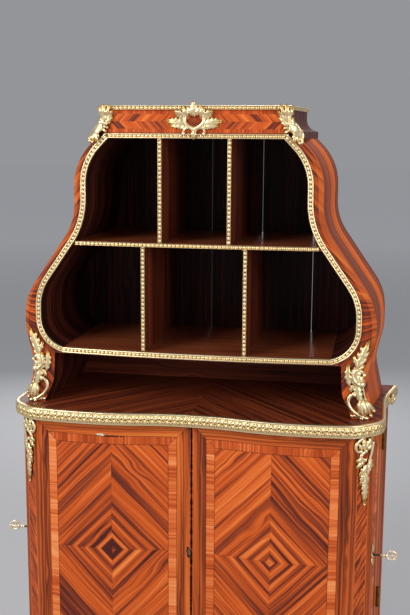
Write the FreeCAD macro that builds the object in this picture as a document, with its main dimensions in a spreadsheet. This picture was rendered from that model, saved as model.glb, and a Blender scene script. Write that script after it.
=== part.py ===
import FreeCAD, Part
import math
import os
import re
import Sketcher

# A cartonnier in two stages: a serpentine cupboard with a door in each side, and on it an
# open case of six pigeonholes between two violin-shaped sides. Millimetres, +Z up, front to -Y,
# origin on the floor under the middle of the piece.

SIZES = [
    ("base_height", 820, "floor to the upper face of the base top"),
    ("back_y", 213, "origin to the back of the piece"),
    ("front_hollow", 165, "origin to the hollow in the middle of the base front"),
    ("lobe_rise", 22, "how far each lobe of the front stands ahead of the hollow"),
    ("hollow_run", 120, "from the corner where the hollow turns out to the lobe"),
    ("hollow_share", 0.78, "share of the hollow's half width that its turn takes"),
    ("lobe_long", 110, "length of the lobe between its corners"),
    ("lobe_run", 104, "from the corner where the lobe falls back to the post"),
    ("wave_round", 600, "radius of the lobe's inner turn"),
    ("lobe_round", 700, "radius of the lobe's outer turn"),
    ("post_wide", 51, "width of the front posts, seen from the front"),
    ("panel_end_drop", 9, "fall of the front from the lobe to the post"),
    ("panel_inner", 143, "origin to the flat inner face of the front panels"),
    ("panel_gap", 1.6, "shrinkage crack between the two front panels"),
    ("cant_angle", 40.8, "angle of the canted posts to the front, degrees"),
    ("post_back", 131, "origin to the back of the front posts"),
    ("side_half", 455, "middle to the straight part of the sides"),
    ("flare_start", 70, "origin to the corner where the sides flare"),
    ("flare_round", 400, "radius of that turn"),
    ("rear_flare", 32, "how far the sides flare out at the back"),
    ("rear_post_front", 150, "origin to the front of the rear posts"),
    ("rear_post_wide", 47, "width of the rear posts at the back"),
    ("body_bottom", 114, "floor to the underside of panels and bottom board"),
    ("apron_bottom", 58, "floor to the lowest edge of the aprons"),
    ("apron_drop", 9, "depth of the drop in the middle of the front apron"),
    ("apron_arch", 30, "rise of the arches beside the drop"),
    ("apron_drop_half", 52, "half width of the drop"),
    ("apron_stop", 32, "end of the arches to the post"),
    ("apron_round", 24, "radius of the arch corners"),
    ("apron_thick", 24, "thickness of the aprons behind their thinnest place"),
    ("foot_splay", 11, "how far the front toes stand out"),
    ("foot_taper", 14, "how far the front feet narrow inside"),
    ("top_thick", 34, "thickness of the base top"),
    ("top_overhang", 14, "overhang of the base top past the body"),
    ("top_corner_round", 60, "rounding of the front corners of the top"),
    ("rim_proud", 12, "how far the gilt rim stands out from the top"),
    ("rim_height", 32, "height of the gilt rim"),
    ("rim_step", 5, "size of the rim's steps"),
    ("trim_gap", 0.2, "play between a gilt strip and a curved edge"),
    ("back_thick", 14, "thickness of the base back"),
    ("board_thick", 18, "bottom, partition and shelves of the base"),
    ("shelf_level", 470, "floor to the upper face of the base shelves"),
    ("shelf_short", 6, "outer edge of a base shelf to the post's inner face"),
    ("cleat_size", 14, "section of the shelf cleats"),
    ("cleat_inset", 24, "shelf end to cleat end"),
    ("door_thick", 19, "thickness of the doors at the closing edge"),
    ("door_gap", 3, "gap round a door"),
    ("door_bevel", 5, "bevel of the door's closing edge"),
    ("leaf_width", 30, "hinge leaf, edge to barrel"),
    ("leaf_thick", 1.2, "thickness of a hinge leaf"),
    ("hinge_tall", 60, "height of a hinge"),
    ("hinge_inset", 70, "door end to hinge end"),
    ("barrel_radius", 4.5, "radius of the hinge barrel"),
    ("barrel_gap", 0.5, "play beside and between the knuckles"),
    ("pin_radius", 2, "radius of the hinge pins"),
    ("pin_fit", 0.05, "running clearance of pins and key"),
    ("lock_z", 450, "floor to the key's axis"),
    ("key_set", 30, "front end of the lock case to the key's axis"),
    ("lock_long", 56, "length of the lock case"),
    ("lock_tall", 56, "height of the lock case"),
    ("lock_deep", 16, "depth of the lock case"),
    ("lock_wall", 2, "wall of the lock case"),
    ("lock_set", 9, "post to the front end of the lock case"),
    ("bolt_long", 44, "length of the bolt"),
    ("bolt_tall", 9, "height of the bolt"),
    ("bolt_thick", 8, "thickness of the bolt"),
    ("bolt_rise", 16, "key's axis to the bolt's axis"),
    ("bolt_fit", 0.3, "play round the bolt"),
    ("mortise_deep", 14, "depth of the bolt's mortise in the post"),
    ("mortise_fit", 1, "play round the bolt in the mortise"),
    ("key_radius", 3, "radius of the key's shank"),
    ("key_reach", 43, "door face to the end of the key's shank"),
    ("bow_radius", 14, "radius of the key's bow"),
    ("bow_thick", 4, "thickness of the bow"),
    ("bow_hole", 9, "radius of the hole in the bow"),
    ("bit_drop", 11, "key's axis to the end of the bit"),
    ("bit_thick", 3, "thickness of the bit"),
    ("bit_long", 8, "length of the bit along the shank"),
    ("keyhole_fit", 0.5, "play of the key in wood and escutcheon"),
    ("plate_thick", 3, "thickness of the escutcheons"),
    ("plate_half_tall", 33, "half height of an escutcheon"),
    ("plate_half_wide", 13, "half width of an escutcheon"),
    ("chute_tall", 172, "height of the mounts on the base posts"),
    ("chute_half", 22, "half width of those mounts"),
    ("chute_thick", 7, "thickness of those mounts"),
    ("front_y", 134, "origin to the front of the upper case"),
    ("opening_set", 12, "end of the frieze in to the upper corner of the opening"),
    ("opening_top_z", 677, "base top to the top of the opening"),
    ("waist_x", 275, "middle to the opening's waist"),
    ("waist_high_z", 615, "base top to the corner above the waist"),
    ("waist_high_round", 130, "radius of that corner"),
    ("waist_low_z", 467, "base top to the corner below the waist"),
    ("waist_low_round", 200, "radius of that corner"),
    ("bulge_x", 399, "middle to the opening's widest place"),
    ("bulge_high_z", 289, "base top to the corner above the widest place"),
    ("bulge_high_round", 125, "radius of that corner"),
    ("bulge_low_z", 166, "base top to the corner below the widest place"),
    ("bulge_low_round", 76, "radius of that corner"),
    ("opening_low_x", 341, "middle to the lower corner of the opening"),
    ("opening_low_z", 148, "base top to the floor of the lower pigeonholes"),
    ("side_wall", 37, "opening to the outer face of the side at the waist"),
    ("side_belly", 13, "extra wall at the widest place"),
    ("shoulder_set", 24, "end of the frieze out to the top of the shoulder"),
    ("neck_x", 427, "middle to the neck above the foot"),
    ("neck_z", 95, "base top to the neck"),
    ("belly_low_z", 188, "base top to the corner under the belly"),
    ("belly_high_z", 270, "base top to the corner over the belly"),
    ("shoulder_low_z", 468, "base top to the corner below the outer waist"),
    ("shoulder_high_z", 617, "base top to the corner above the outer waist"),
    ("side_round", 150, "radius of the outer turns"),
    ("toe_x", 448, "middle to the outer toe of the upper feet"),
    ("leg_top_x", 366, "middle to the inner edge of the leg, at the top"),
    ("leg_low_x", 370, "middle to the inner bend of the leg"),
    ("leg_low_z", 58, "base top to that bend"),
    ("leg_round", 80, "radius of that bend"),
    ("heel_x", 396, "middle to the inner edge of the foot"),
    ("cant_in", 20, "how far the canted edge cuts in from the side"),
    ("cant_deep", 18, "depth of the canted edge"),
    ("channel_in", 6, "depth of the channel in the sides"),
    ("channel_deep", 110, "front to the deepest place of the channel"),
    ("rear_stile", 255, "front to the rear stile"),
    ("side_flare", 18, "flare of the sides at the back"),
    ("case_board", 17, "thickness of the case's bottom board"),
    ("case_bow", 16, "forward bow of the bottom board"),
    ("board_housing", 13, "length of the bottom board's end in the side"),
    ("shelf_top_z", 422, "base top to the upper face of the middle shelf"),
    ("shelf_thick", 10, "thickness of the middle shelf"),
    ("shelf_bow", 8, "forward bow of the middle shelf"),
    ("shelf_housing", 12, "length of the middle shelf's end in the side"),
    ("shelf_fit", 0.2, "play of the shelf in its housing"),
    ("ceiling_thick", 14, "thickness of the ceiling board"),
    ("crest_bow", 6, "forward bow of the ceiling and frieze"),
    ("bow_share", 0.44, "share of an edge's half length that the bow's turn takes, either way"),
    ("divider_thick", 10, "thickness of the dividers"),
    ("upper_divider_x", 86, "middle to an upper divider"),
    ("lower_divider_x", 128, "middle to a lower divider"),
    ("upper_divider_ahead", 4, "upper dividers ahead of the case front"),
    ("lower_divider_ahead", 10, "lower dividers ahead of the case front"),
    ("plank_thick", 13, "thickness of the case's back boards"),
    ("plank_play", 0.3, "play of the back boards and the rail in the sides"),
    ("plank_seam", 2, "shrinkage gap between the back boards"),
    ("plank_wide", 141, "width of a back board"),
    ("plank_shift", 15, "how far the middle seam of the back boards lies to the left"),
    ("rail_thick", 22, "thickness of the board under the case's back"),
    ("crest_z", 746, "base top to the underside of the crest's top board"),
    ("crest_half", 228, "middle to the end of the frieze"),
    ("crest_flare", 13, "flare of the crest at the back"),
    ("frieze_thick", 18, "thickness of the frieze"),
    ("plinth_tall", 18, "height of the plinth under the crest's cavetto"),
    ("plinth_out", 26, "how far that plinth stands past the frieze"),
    ("plinth_fillet", 4, "ledge between the plinth and the cavetto"),
    ("cavetto_rise", 10, "rise of the cavetto's foot from that ledge to the frieze's end"),
    ("cavetto_round", 32, "radius of the cavetto"),
    ("crest_top_thick", 6, "thickness of the crest's top board"),
    ("crest_rim_proud", 8, "how far the crest's gilt rim stands out"),
    ("crest_rim_tall", 13, "height of the crest's gilt rim"),
    ("crest_corner_round", 12, "rounding of the rim at the front corners"),
    ("strip_wide", 16, "width of the strips along the opening's sides"),
    ("strip_thick", 7, "thickness of the gilt strips"),
    ("strip_gap", 0.8, "gap at the ends of the strips across the opening"),
    ("strip_bevel", 3, "bevel along the edges of the gilt strips"),
    ("ceiling_strip", 12, "height of the strip at the ceiling"),
    ("bottom_strip", 15, "height of the strip at the bottom board"),
    ("divider_strip", 11, "width of the strips on the dividers"),
    ("mount_proud", 6, "how far the mounts on the case stand out"),
    ("foot_mount_tall", 168, "height of the mounts on the upper feet"),
    ("foot_mount_wide", 34, "width of those mounts"),
    ("corner_mount_tall", 92, "height of the mounts on the crest's corners"),
    ("corner_mount_wide", 46, "width of those mounts"),
    ("badge_half", 68, "half width of the cartouche"),
    ("badge_rise", 43, "half height of the cartouche"),
    ("badge_z", 721, "base top to the middle of the cartouche"),
    ("badge_thick", 14, "thickness of the cartouche"),
]

doc = FreeCAD.newDocument("cartonnier")
sheet = doc.addObject("Spreadsheet::Sheet", "Sizes")
for row, (alias, value, meaning) in enumerate(SIZES, start=1):
    sheet.set(f"A{row}", meaning)
    sheet.set(f"B{row}", str(value))
    sheet.setAlias(f"B{row}", alias)
doc.recompute()
ALIASES = {alias for alias, value, meaning in SIZES}
nodes = []


# Sizes and expressions

def bound(text):
    """The expression with every size's name led back to the sheet."""
    return re.sub(r"[a-z_]+", lambda m: "Sizes." + m[0] if m[0] in ALIASES else m[0], text)


def number(text):
    """What the expression comes to now."""
    result = sheet.evalExpression(bound(text))
    return float(getattr(result, "Value", result))


def bind(item, prop, text):
    item.setExpression(prop, bound(text))


def keep(item, label):
    """Name a finished sub-part as a node."""
    item.Label = label
    nodes.append(item)
    return item


# Levels and lines that several pieces share

UNDER_TOP = "(base_height - top_thick)"
PANEL_HALF = "(side_half - post_wide)"
LOBE_END = f"({PANEL_HALF} - lobe_run)"
LOBE_START = f"({LOBE_END} - lobe_long)"
HOLLOW_HALF = f"({LOBE_START} - hollow_run)"
HOLLOW_ROUND = f"({HOLLOW_HALF} * hollow_share / tan(atan(lobe_rise / hollow_run) / 2))"
OPENING_TOP_X = "(crest_half - opening_set)"
SHOULDER_X = "(crest_half + shoulder_set)"
UNDER_CASE = "(base_height + opening_low_z - case_board)"
ARCH_END = f"({PANEL_HALF} - apron_stop)"
SHELF_REACH = f"({PANEL_HALF} - shelf_short)"
REAR_HALF = "(side_half + rear_flare)"
REAR_POST_INNER = f"({REAR_HALF} - rear_post_wide)"
DOOR_INNER = "(side_half - door_thick)"
LOCK_FRONT = "(post_back - lock_set)"
LOCK_Y = f"({LOCK_FRONT} - key_set)"
PANEL_END_Y = "(panel_end_drop - front_hollow - lobe_rise)"
POST_SIDE_Y = f"({PANEL_END_Y} + post_wide * tan(cant_angle))"
DOOR_FRONT_Y = "(door_gap - post_back)"
DOOR_REAR_Y = "(rear_post_front - door_gap)"
HINGE_Y = "(rear_post_front - door_gap / 2)"


def flare_x(y):
    """Half width of the body where its side flares, at a depth y."""
    return f"(side_half + rear_flare * ({y} - flare_start) / (back_y - flare_start))"


HINGE_X = f"({flare_x('rear_post_front')} + barrel_radius + barrel_gap)"
CREST_RIM_LOW = "(crest_z + crest_top_thick / 2 - crest_rim_tall / 2)"
SHELF_EDGE = ("(waist_x + (waist_low_z - shelf_top_z) * (bulge_x - waist_x)"
              " / (waist_low_z - bulge_high_z))")
SHELF_END = f"({SHELF_EDGE} + shelf_housing)"
OUTER_WAIST_X = "(waist_x + side_wall)"
OUTER_BELLY_X = "(bulge_x + side_wall + side_belly)"


# Sketches

def add_point_sizes(sketch, geo, pos, x, y):
    """Tie one point of the sketch to the sheet."""
    for kind, axis, text in (("DistanceX", "x", x), ("DistanceY", "y", y)):
        index = sketch.addConstraint(Sketcher.Constraint(kind, -1, 1, geo, pos, number(text)))
        sketch.renameConstraint(index, f"{axis}_{geo}_{pos}")
        bind(sketch, f"Constraints.{axis}_{geo}_{pos}", text)


def add_radius(sketch, geo, radius):
    index = sketch.addConstraint(Sketcher.Constraint("Radius", geo, number(radius)))
    sketch.renameConstraint(index, f"r_{geo}")
    bind(sketch, f"Constraints.r_{geo}", radius)


def corner_cut(before, at, after, radius):
    """Where a rounding of this radius leaves the two lines of a corner, and its centre."""
    into = (at - before).normalize()
    away = (after - at).normalize()
    half = into.getAngle(away) / 2
    reach = radius * math.tan(half)
    leave = at - into * reach
    join = at + away * reach
    centre = at + (away - into).normalize() * (radius / math.cos(half))
    return leave, join, centre


def draw(sketch, corners, closed=True):
    """Lines from corner to corner. A corner (x, y, radius) is rounded by a tangent arc."""
    points = [FreeCAD.Vector(number(c[0]), number(c[1]), 0) for c in corners]
    count = len(points)
    cuts = []
    for i, corner in enumerate(corners):
        if len(corner) == 2:
            cuts.append((points[i], points[i], None))
        else:
            cuts.append(corner_cut(points[i - 1], points[i], points[(i + 1) % count], number(corner[2])))
    lines = []
    for i in range(count if closed else count - 1):
        lines.append(sketch.addGeometry(Part.LineSegment(cuts[i][1], cuts[(i + 1) % count][0]), False))
    for i, corner in enumerate(corners):
        line_in = lines[i - 1] if closed or i > 0 else None
        line_out = lines[i] if i < len(lines) else None
        if len(corner) == 2:
            if line_in is not None and line_out is not None:
                sketch.addConstraint(Sketcher.Constraint("Coincident", line_in, 2, line_out, 1))
            place = (line_out, 1) if line_out is not None else (line_in, 2)
            add_point_sizes(sketch, *place, corner[0], corner[1])
            continue
        leave, join, centre = cuts[i]
        radius = number(corner[2])
        angles = [math.atan2(p.y - centre.y, p.x - centre.x) for p in (leave, join)]
        left_turn = (points[i] - points[i - 1]).cross(points[(i + 1) % count] - points[i]).z > 0
        first, last = angles if left_turn else reversed(angles)
        circle = Part.Circle(centre, FreeCAD.Vector(0, 0, 1), radius)
        arc = sketch.addGeometry(Part.ArcOfCircle(circle, first, last), False)
        start, end = (1, 2) if left_turn else (2, 1)
        sketch.addConstraint(Sketcher.Constraint("Tangent", line_in, 2, arc, start))
        sketch.addConstraint(Sketcher.Constraint("Tangent", arc, end, line_out, 1))
        add_radius(sketch, arc, corner[2])
        tip = sketch.addGeometry(Part.Point(points[i]), True)
        sketch.addConstraint(Sketcher.Constraint("PointOnObject", tip, 1, line_in))
        sketch.addConstraint(Sketcher.Constraint("PointOnObject", tip, 1, line_out))
        add_point_sizes(sketch, tip, 1, corner[0], corner[1])


def draw_circle(sketch, x, y, radius):
    circle = Part.Circle(FreeCAD.Vector(number(x), number(y), 0), FreeCAD.Vector(0, 0, 1), number(radius))
    geo = sketch.addGeometry(circle, False)
    add_radius(sketch, geo, radius)
    add_point_sizes(sketch, geo, 3, x, y)


def both_halves(half):
    """A closed outline from its right half, which leaves out the points on the middle line."""
    return half + [(f"-({c[0]})", *c[1:]) for c in reversed(half)]


def bow_path(half, front, bow):
    """The right half of an edge that bows forward, from the middle line, as one wide turn."""
    middle = f"({front} - {bow})"
    turn = f"atan(2 * {bow} / ({half}))"
    wide_turn = f"bow_share * ({half}) / tan({turn} / 2)"
    return [("0", middle), (f"({half}) / 2", middle, wide_turn), (half, front)]


def spread(shape, x, width, y, height):
    """An ornament's outline from shares of its width and height about a point. A third share is
    the rounding of that corner, against the width."""
    outline = []
    for across, up, *turn in shape:
        outline.append((f"{x} + {across} * {width}", f"{y} + {up} * {height}",
                        *[f"{share} * {width}" for share in turn]))
    return outline


def other_side(half):
    """The left half of an ornament from its right half."""
    return [(-c[0], *c[1:]) for c in reversed(half)]


# Features

def new_body(name):
    return doc.addObject("PartDesign::Body", name)


def plane_of(body, role):
    return next(item for item in body.Origin.OriginFeatures if item.Role == role)


def sketch_on(body, role, offset):
    """A sketch on one of the body's own planes, moved along that plane's normal."""
    sketch = body.newObject("Sketcher::SketchObject", body.Name + "_sketch")
    sketch.AttachmentSupport = [(plane_of(body, role), "")]
    sketch.MapMode = "FlatFace"
    bind(sketch, "AttachmentOffset.Base.z", offset)
    return sketch


def plate(body, axis, start, end, draw_outline):
    """A pad along an axis from start to end. The normal of the XZ plane points to -Y."""
    role, offset = {"z": ("XY_Plane", start), "y": ("XZ_Plane", f"-({end})"),
                    "x": ("YZ_Plane", start)}[axis]
    sketch = sketch_on(body, role, offset)
    draw_outline(sketch)
    pad = body.newObject("PartDesign::Pad", body.Name + "_pad")
    pad.Profile = sketch
    bind(pad, "Length", f"({end}) - ({start})")
    return pad


def hollow(body, axis, start, end, draw_outline):
    """A pocket along an axis from start to end, cut against its plane's normal."""
    role, offset = {"z": ("XY_Plane", end), "y": ("XZ_Plane", f"-({start})"),
                    "x": ("YZ_Plane", end)}[axis]
    sketch = sketch_on(body, role, offset)
    draw_outline(sketch)
    before = body.Shape.Volume if not body.Shape.isNull() else 0
    pocket = body.newObject("PartDesign::Pocket", body.Name + "_pocket")
    pocket.Profile = sketch
    bind(pocket, "Length", f"({end}) - ({start})")
    doc.recompute()
    if before and body.Shape.Volume >= before:
        raise RuntimeError(f"the pocket in {body.Name} cuts nothing")
    return pocket


def board(label, axis, start, end, corners):
    body = new_body(label)
    plate(body, axis, start, end, lambda sketch: draw(sketch, corners))
    return keep(body, label)


def bowed_board(label, half, bow, back, low, high, end=None, corner=None):
    """A board of the upper case whose front bows forward over half its length each way,
    and then runs straight to its ends, or has rounded corners."""
    outline = bow_path(half, "-front_y", bow)[1:]
    if corner:
        outline[-1] = (*outline[-1], corner)
    if end:
        outline.append((end, "-front_y"))
    outline.append((end or half, back))
    return board(label, "z", low, high, both_halves(outline))


def loft(body, role, stations):
    """A ruled loft through (offset, corners) sections along the normal of one plane."""
    sketches = []
    for offset, corners in stations:
        sketch = sketch_on(body, role, offset)
        draw(sketch, corners)
        sketches.append(sketch)
    feature = body.newObject("PartDesign::AdditiveLoft", body.Name + "_loft")
    feature.Profile = sketches[0]
    feature.Sections = sketches[1:]
    feature.Ruled = True
    return feature


def half_moulding(label, path, level, section):
    """A moulding along the right half of a plan path from the middle line, and its mirror image."""
    body = new_body(label)
    spine = sketch_on(body, "XY_Plane", level)
    draw(spine, path, closed=False)
    profile = sketch_on(body, "YZ_Plane", "0")
    draw(profile, section)
    pipe = body.newObject("PartDesign::AdditivePipe", label + "_pipe")
    pipe.Profile = profile
    doc.recompute()
    pipe.Spine = (spine, [f"Edge{i + 1}" for i in range(len(spine.Shape.Edges))])
    twin = body.newObject("PartDesign::Mirrored", label + "_mirror")
    twin.Originals = [pipe]
    twin.MirrorPlane = (plane_of(body, "YZ_Plane"), [""])
    body.Tip = twin
    return keep(body, label)


def block(x, y, z):
    """A box from three (low, high) pairs."""
    item = doc.addObject("Part::Box", "block")
    for prop, axis, (low, high) in zip(("Length", "Width", "Height"), "xyz", (x, y, z)):
        bind(item, prop, f"({high}) - ({low})")
        bind(item, f"Placement.Base.{axis}", low)
    return item


def rod(radius, long, base, along):
    """A cylinder from a base point along an axis."""
    item = doc.addObject("Part::Cylinder", "rod")
    turns = {"x": ((0, 1, 0), 90), "y": ((1, 0, 0), -90), "z": ((0, 0, 1), 0)}
    about, angle = turns[along]
    turn = FreeCAD.Rotation(FreeCAD.Vector(*about), angle)
    item.Placement = FreeCAD.Placement(FreeCAD.Vector(), turn)
    bind(item, "Radius", radius)
    bind(item, "Height", long)
    for axis, text in zip("xyz", base):
        bind(item, f"Placement.Base.{axis}", text)
    return item


def fuse(items):
    item = doc.addObject("Part::MultiFuse", "joined")
    item.Shapes = items
    item.Refine = True
    return item


def group(label, items):
    """Separate solids that share a node."""
    item = doc.addObject("Part::Compound", label)
    item.Links = items
    return keep(item, label)


def cut(base, tool):
    item = doc.addObject("Part::Cut", "cut")
    item.Base = base
    item.Tool = tool
    item.Refine = True
    return item


def twin_of(source, label=None):
    """The same sub-part on the other side of the middle line."""
    item = doc.addObject("Part::Mirroring", label or "twin")
    item.Source = source
    item.Normal = FreeCAD.Vector(1, 0, 0)
    return keep(item, label) if label else item


def pair(source, name):
    """Keep a right-hand sub-part and its left-hand twin."""
    keep(source, name + "_right")
    twin_of(source, name + "_left")


# Base: plan lines

def front_wave(out):
    """The right half of the serpentine front, a distance out ahead of the body."""
    lobe = f"-(front_hollow + lobe_rise + {out})"
    return [(HOLLOW_HALF, f"-(front_hollow + {out})", f"{HOLLOW_ROUND} - {out}"),
            (LOBE_START, lobe, f"wave_round + {out}"),
            (LOBE_END, lobe, f"lobe_round + {out}")]


def top_line():
    """The right half of the base top's edge, from the front to the back corner."""
    return front_wave("top_overhang") + [
        (f"{PANEL_HALF} + top_overhang * tan(cant_angle / 2)", f"{PANEL_END_Y} - top_overhang",
         "top_corner_round"),
        ("side_half + top_overhang", f"{POST_SIDE_Y} - top_overhang * tan(45 - cant_angle / 2)",
         "top_corner_round"),
        ("side_half + top_overhang", "flare_start", "flare_round - top_overhang"),
        (f"{REAR_HALF} + top_overhang", "back_y")]


# Base: carcase

def base_top():
    board("base_top", "z", UNDER_TOP, "base_height", both_halves(top_line()))
    edge = "-(front_hollow + top_overhang + trim_gap)"
    low = "base_height - rim_height"
    section = [(edge, low), (f"{edge} - rim_proud + rim_step", low),
               (f"{edge} - rim_proud", f"{low} + 2 * rim_step"),
               (f"{edge} - rim_proud", "base_height - rim_step"),
               (f"{edge} - rim_step", "base_height"), (edge, "base_height")]
    path = [("0", "-(front_hollow + top_overhang)")] + top_line()
    half_moulding("base_top_rim", path, "base_height - rim_height / 2", section)


def front_panels():
    outline = [("panel_gap / 2", "-front_hollow"), *front_wave("0"), (PANEL_HALF, PANEL_END_Y),
               (PANEL_HALF, "-panel_inner"), ("panel_gap / 2", "-panel_inner")]
    body = new_body("front_panel")
    plate(body, "z", "body_bottom", UNDER_TOP, lambda sketch: draw(sketch, outline))
    pair(body, "front_panel")


def front_posts():
    """Canted corner posts whose lower ends splay into feet, with a mortise for the bolt."""
    section = [(PANEL_HALF, PANEL_END_Y), ("side_half", POST_SIDE_Y), ("side_half", "-post_back"),
               (PANEL_HALF, "-post_back")]
    toe = [(f"{PANEL_HALF} + foot_taper", f"{PANEL_END_Y} - foot_splay"),
           ("side_half + foot_splay", f"{POST_SIDE_Y} - foot_splay"),
           ("side_half + foot_splay", "-post_back - foot_taper / 2"),
           (f"{PANEL_HALF} + foot_taper", "-post_back - foot_taper / 2")]
    body = new_body("front_post")
    plate(body, "z", "body_bottom", UNDER_TOP, lambda sketch: draw(sketch, section))
    loft(body, "XY_Plane", [("body_bottom", section), ("apron_bottom", section), ("0", toe)])
    doc.recompute()
    middle = f"{DOOR_INNER} - lock_deep / 2"
    half_wide = "(bolt_thick / 2 + mortise_fit)"
    half_tall = "(bolt_tall / 2 + mortise_fit)"
    mouth = [(f"{middle} - {half_wide}", f"lock_z + bolt_rise - {half_tall}"),
             (f"{middle} + {half_wide}", f"lock_z + bolt_rise - {half_tall}"),
             (f"{middle} + {half_wide}", f"lock_z + bolt_rise + {half_tall}"),
             (f"{middle} - {half_wide}", f"lock_z + bolt_rise + {half_tall}")]
    hollow(body, "y", "-post_back - mortise_deep", "-post_back", lambda sketch: draw(sketch, mouth))
    pair(body, "front_post")


def rear_posts():
    section = [(flare_x("rear_post_front"), "rear_post_front"), (REAR_HALF, "back_y"),
               (REAR_POST_INNER, "back_y"), (REAR_POST_INNER, "rear_post_front")]
    body = new_body("rear_post")
    plate(body, "z", "0", UNDER_TOP, lambda sketch: draw(sketch, section))
    pair(body, "rear_post")


def carcase_boards():
    inside_back = "(back_y - back_thick)"
    keep(block((f"-{REAR_POST_INNER}", REAR_POST_INNER), (inside_back, "back_y"),
               ("apron_bottom", UNDER_TOP)), "base_back")
    edge = f"{DOOR_INNER} - door_gap"
    board("base_bottom", "z", "body_bottom", "body_bottom + board_thick", both_halves(
        [(PANEL_HALF, "-panel_inner"), (PANEL_HALF, "-post_back"), (edge, "-post_back"),
         (edge, inside_back)]))
    floor = "body_bottom + board_thick"
    keep(block(("-board_thick / 2", "board_thick / 2"), ("-panel_inner", inside_back),
               (floor, UNDER_TOP)), "base_partition")
    shelf = block(("board_thick / 2", SHELF_REACH), ("-panel_inner", inside_back),
                  ("shelf_level - board_thick", "shelf_level"))
    pair(shelf, "base_shelf")
    cleats = []
    for ends in (("-panel_inner", "-panel_inner + cleat_size"),
                 (f"{inside_back} - cleat_size", inside_back)):
        cleat = block(("board_thick / 2 + cleat_inset", f"{SHELF_REACH} - cleat_inset"), ends,
                      ("shelf_level - board_thick - cleat_size", "shelf_level - board_thick"))
        cleats += [cleat, twin_of(cleat)]
    group("shelf_cleats", cleats)


def aprons():
    front = new_body("front_apron")
    outline = both_halves(front_wave("0") + [(PANEL_HALF, PANEL_END_Y), (PANEL_HALF, "-panel_inner")])
    plate(front, "z", "apron_bottom", "body_bottom", lambda sketch: draw(sketch, outline))
    doc.recompute()
    arch = [("apron_drop_half", "0"), (ARCH_END, "0"),
            (ARCH_END, "apron_bottom + apron_drop"),
            (f"{ARCH_END} - apron_arch", "apron_bottom + apron_arch", "apron_round"),
            ("apron_drop_half + apron_arch", "apron_bottom + apron_arch", "apron_round"),
            ("apron_drop_half", "apron_bottom + apron_drop")]
    far = "front_hollow + lobe_rise + top_overhang"
    for side in (arch, [(f"-({c[0]})", *c[1:]) for c in reversed(arch)]):
        hollow(front, "y", f"-({far})", "0", lambda sketch: draw(sketch, side))
    keep(front, "front_apron")
    section = [("side_half", "-post_back"), ("side_half", "flare_start", "flare_round"),
               (flare_x("rear_post_front"), "rear_post_front"),
               ("side_half - apron_thick", "rear_post_front"), ("side_half - apron_thick", "-post_back")]
    body = new_body("side_apron")
    plate(body, "z", "apron_bottom", "body_bottom", lambda sketch: draw(sketch, section))
    pair(body, "side_apron")


# Base: doors, hinges and locks

def doors():
    section = [("side_half", DOOR_FRONT_Y), ("side_half", "flare_start", "flare_round"),
               (flare_x(DOOR_REAR_Y), DOOR_REAR_Y), (DOOR_INNER, DOOR_REAR_Y),
               (DOOR_INNER, f"{DOOR_FRONT_Y} + door_bevel")]
    body = new_body("door")
    plate(body, "z", "body_bottom + door_gap", f"{UNDER_TOP} - door_gap",
          lambda sketch: draw(sketch, section))
    doc.recompute()
    hollow(body, "x", DOOR_INNER, "side_half",
           lambda sketch: draw(sketch, key_slot("key_radius", "lock_z + key_radius + keyhole_fit")))
    pair(body, "door")


def key_slot(half_wide, high):
    """An upright slot that lets the key's bit through."""
    half = f"({half_wide} + keyhole_fit)"
    low = "lock_z - bit_drop - keyhole_fit"
    return [(f"-{LOCK_Y} - {half}", low), (f"-{LOCK_Y} + {half}", low),
            (f"-{LOCK_Y} + {half}", high), (f"-{LOCK_Y} - {half}", high)]


def hinges():
    """Two lift-off hinges on each door, outside its rear edge: the door's knuckle stands on the
    post's, and a pin runs through both."""
    plate_end = f"{HINGE_X} - barrel_radius - barrel_gap"
    plate_start = f"{HINGE_X} - barrel_radius - leaf_width"
    knuckle = "(hinge_tall / 2)"
    starts = ("(body_bottom + door_gap + hinge_inset)",
              f"({UNDER_TOP} - door_gap - hinge_inset - hinge_tall)")
    door_leaves, post_leaves, pins = [], [], []
    for low in starts:
        for leaves, y_pair, base in (
                (post_leaves, ("rear_post_front - leaf_thick", "rear_post_front"), low),
                (door_leaves, (DOOR_REAR_Y, f"{DOOR_REAR_Y} + leaf_thick"), f"{low} + {knuckle}")):
            foot = f"{base} + barrel_gap / 2"
            tall = f"{knuckle} - barrel_gap"
            leaf = fuse([block((plate_start, plate_end), y_pair, (low, f"{low} + hinge_tall")),
                         block((plate_end, HINGE_X), y_pair, (foot, f"{foot} + {tall}")),
                         rod("barrel_radius", tall, (HINGE_X, HINGE_Y, foot), "z")])
            bore = rod("pin_radius + pin_fit", tall, (HINGE_X, HINGE_Y, foot), "z")
            leaves.append(cut(leaf, bore))
        pins.append(rod("pin_radius", "hinge_tall", (HINGE_X, HINGE_Y, low), "z"))
    leaf_pair = doc.addObject("Part::Compound", "hinge_door_leaf")
    leaf_pair.Links = door_leaves
    pair(leaf_pair, "hinge_door_leaf")
    for label, items in (("hinge_post_leaves", post_leaves), ("hinge_pins", pins)):
        group(label, items + [twin_of(item) for item in items])


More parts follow.
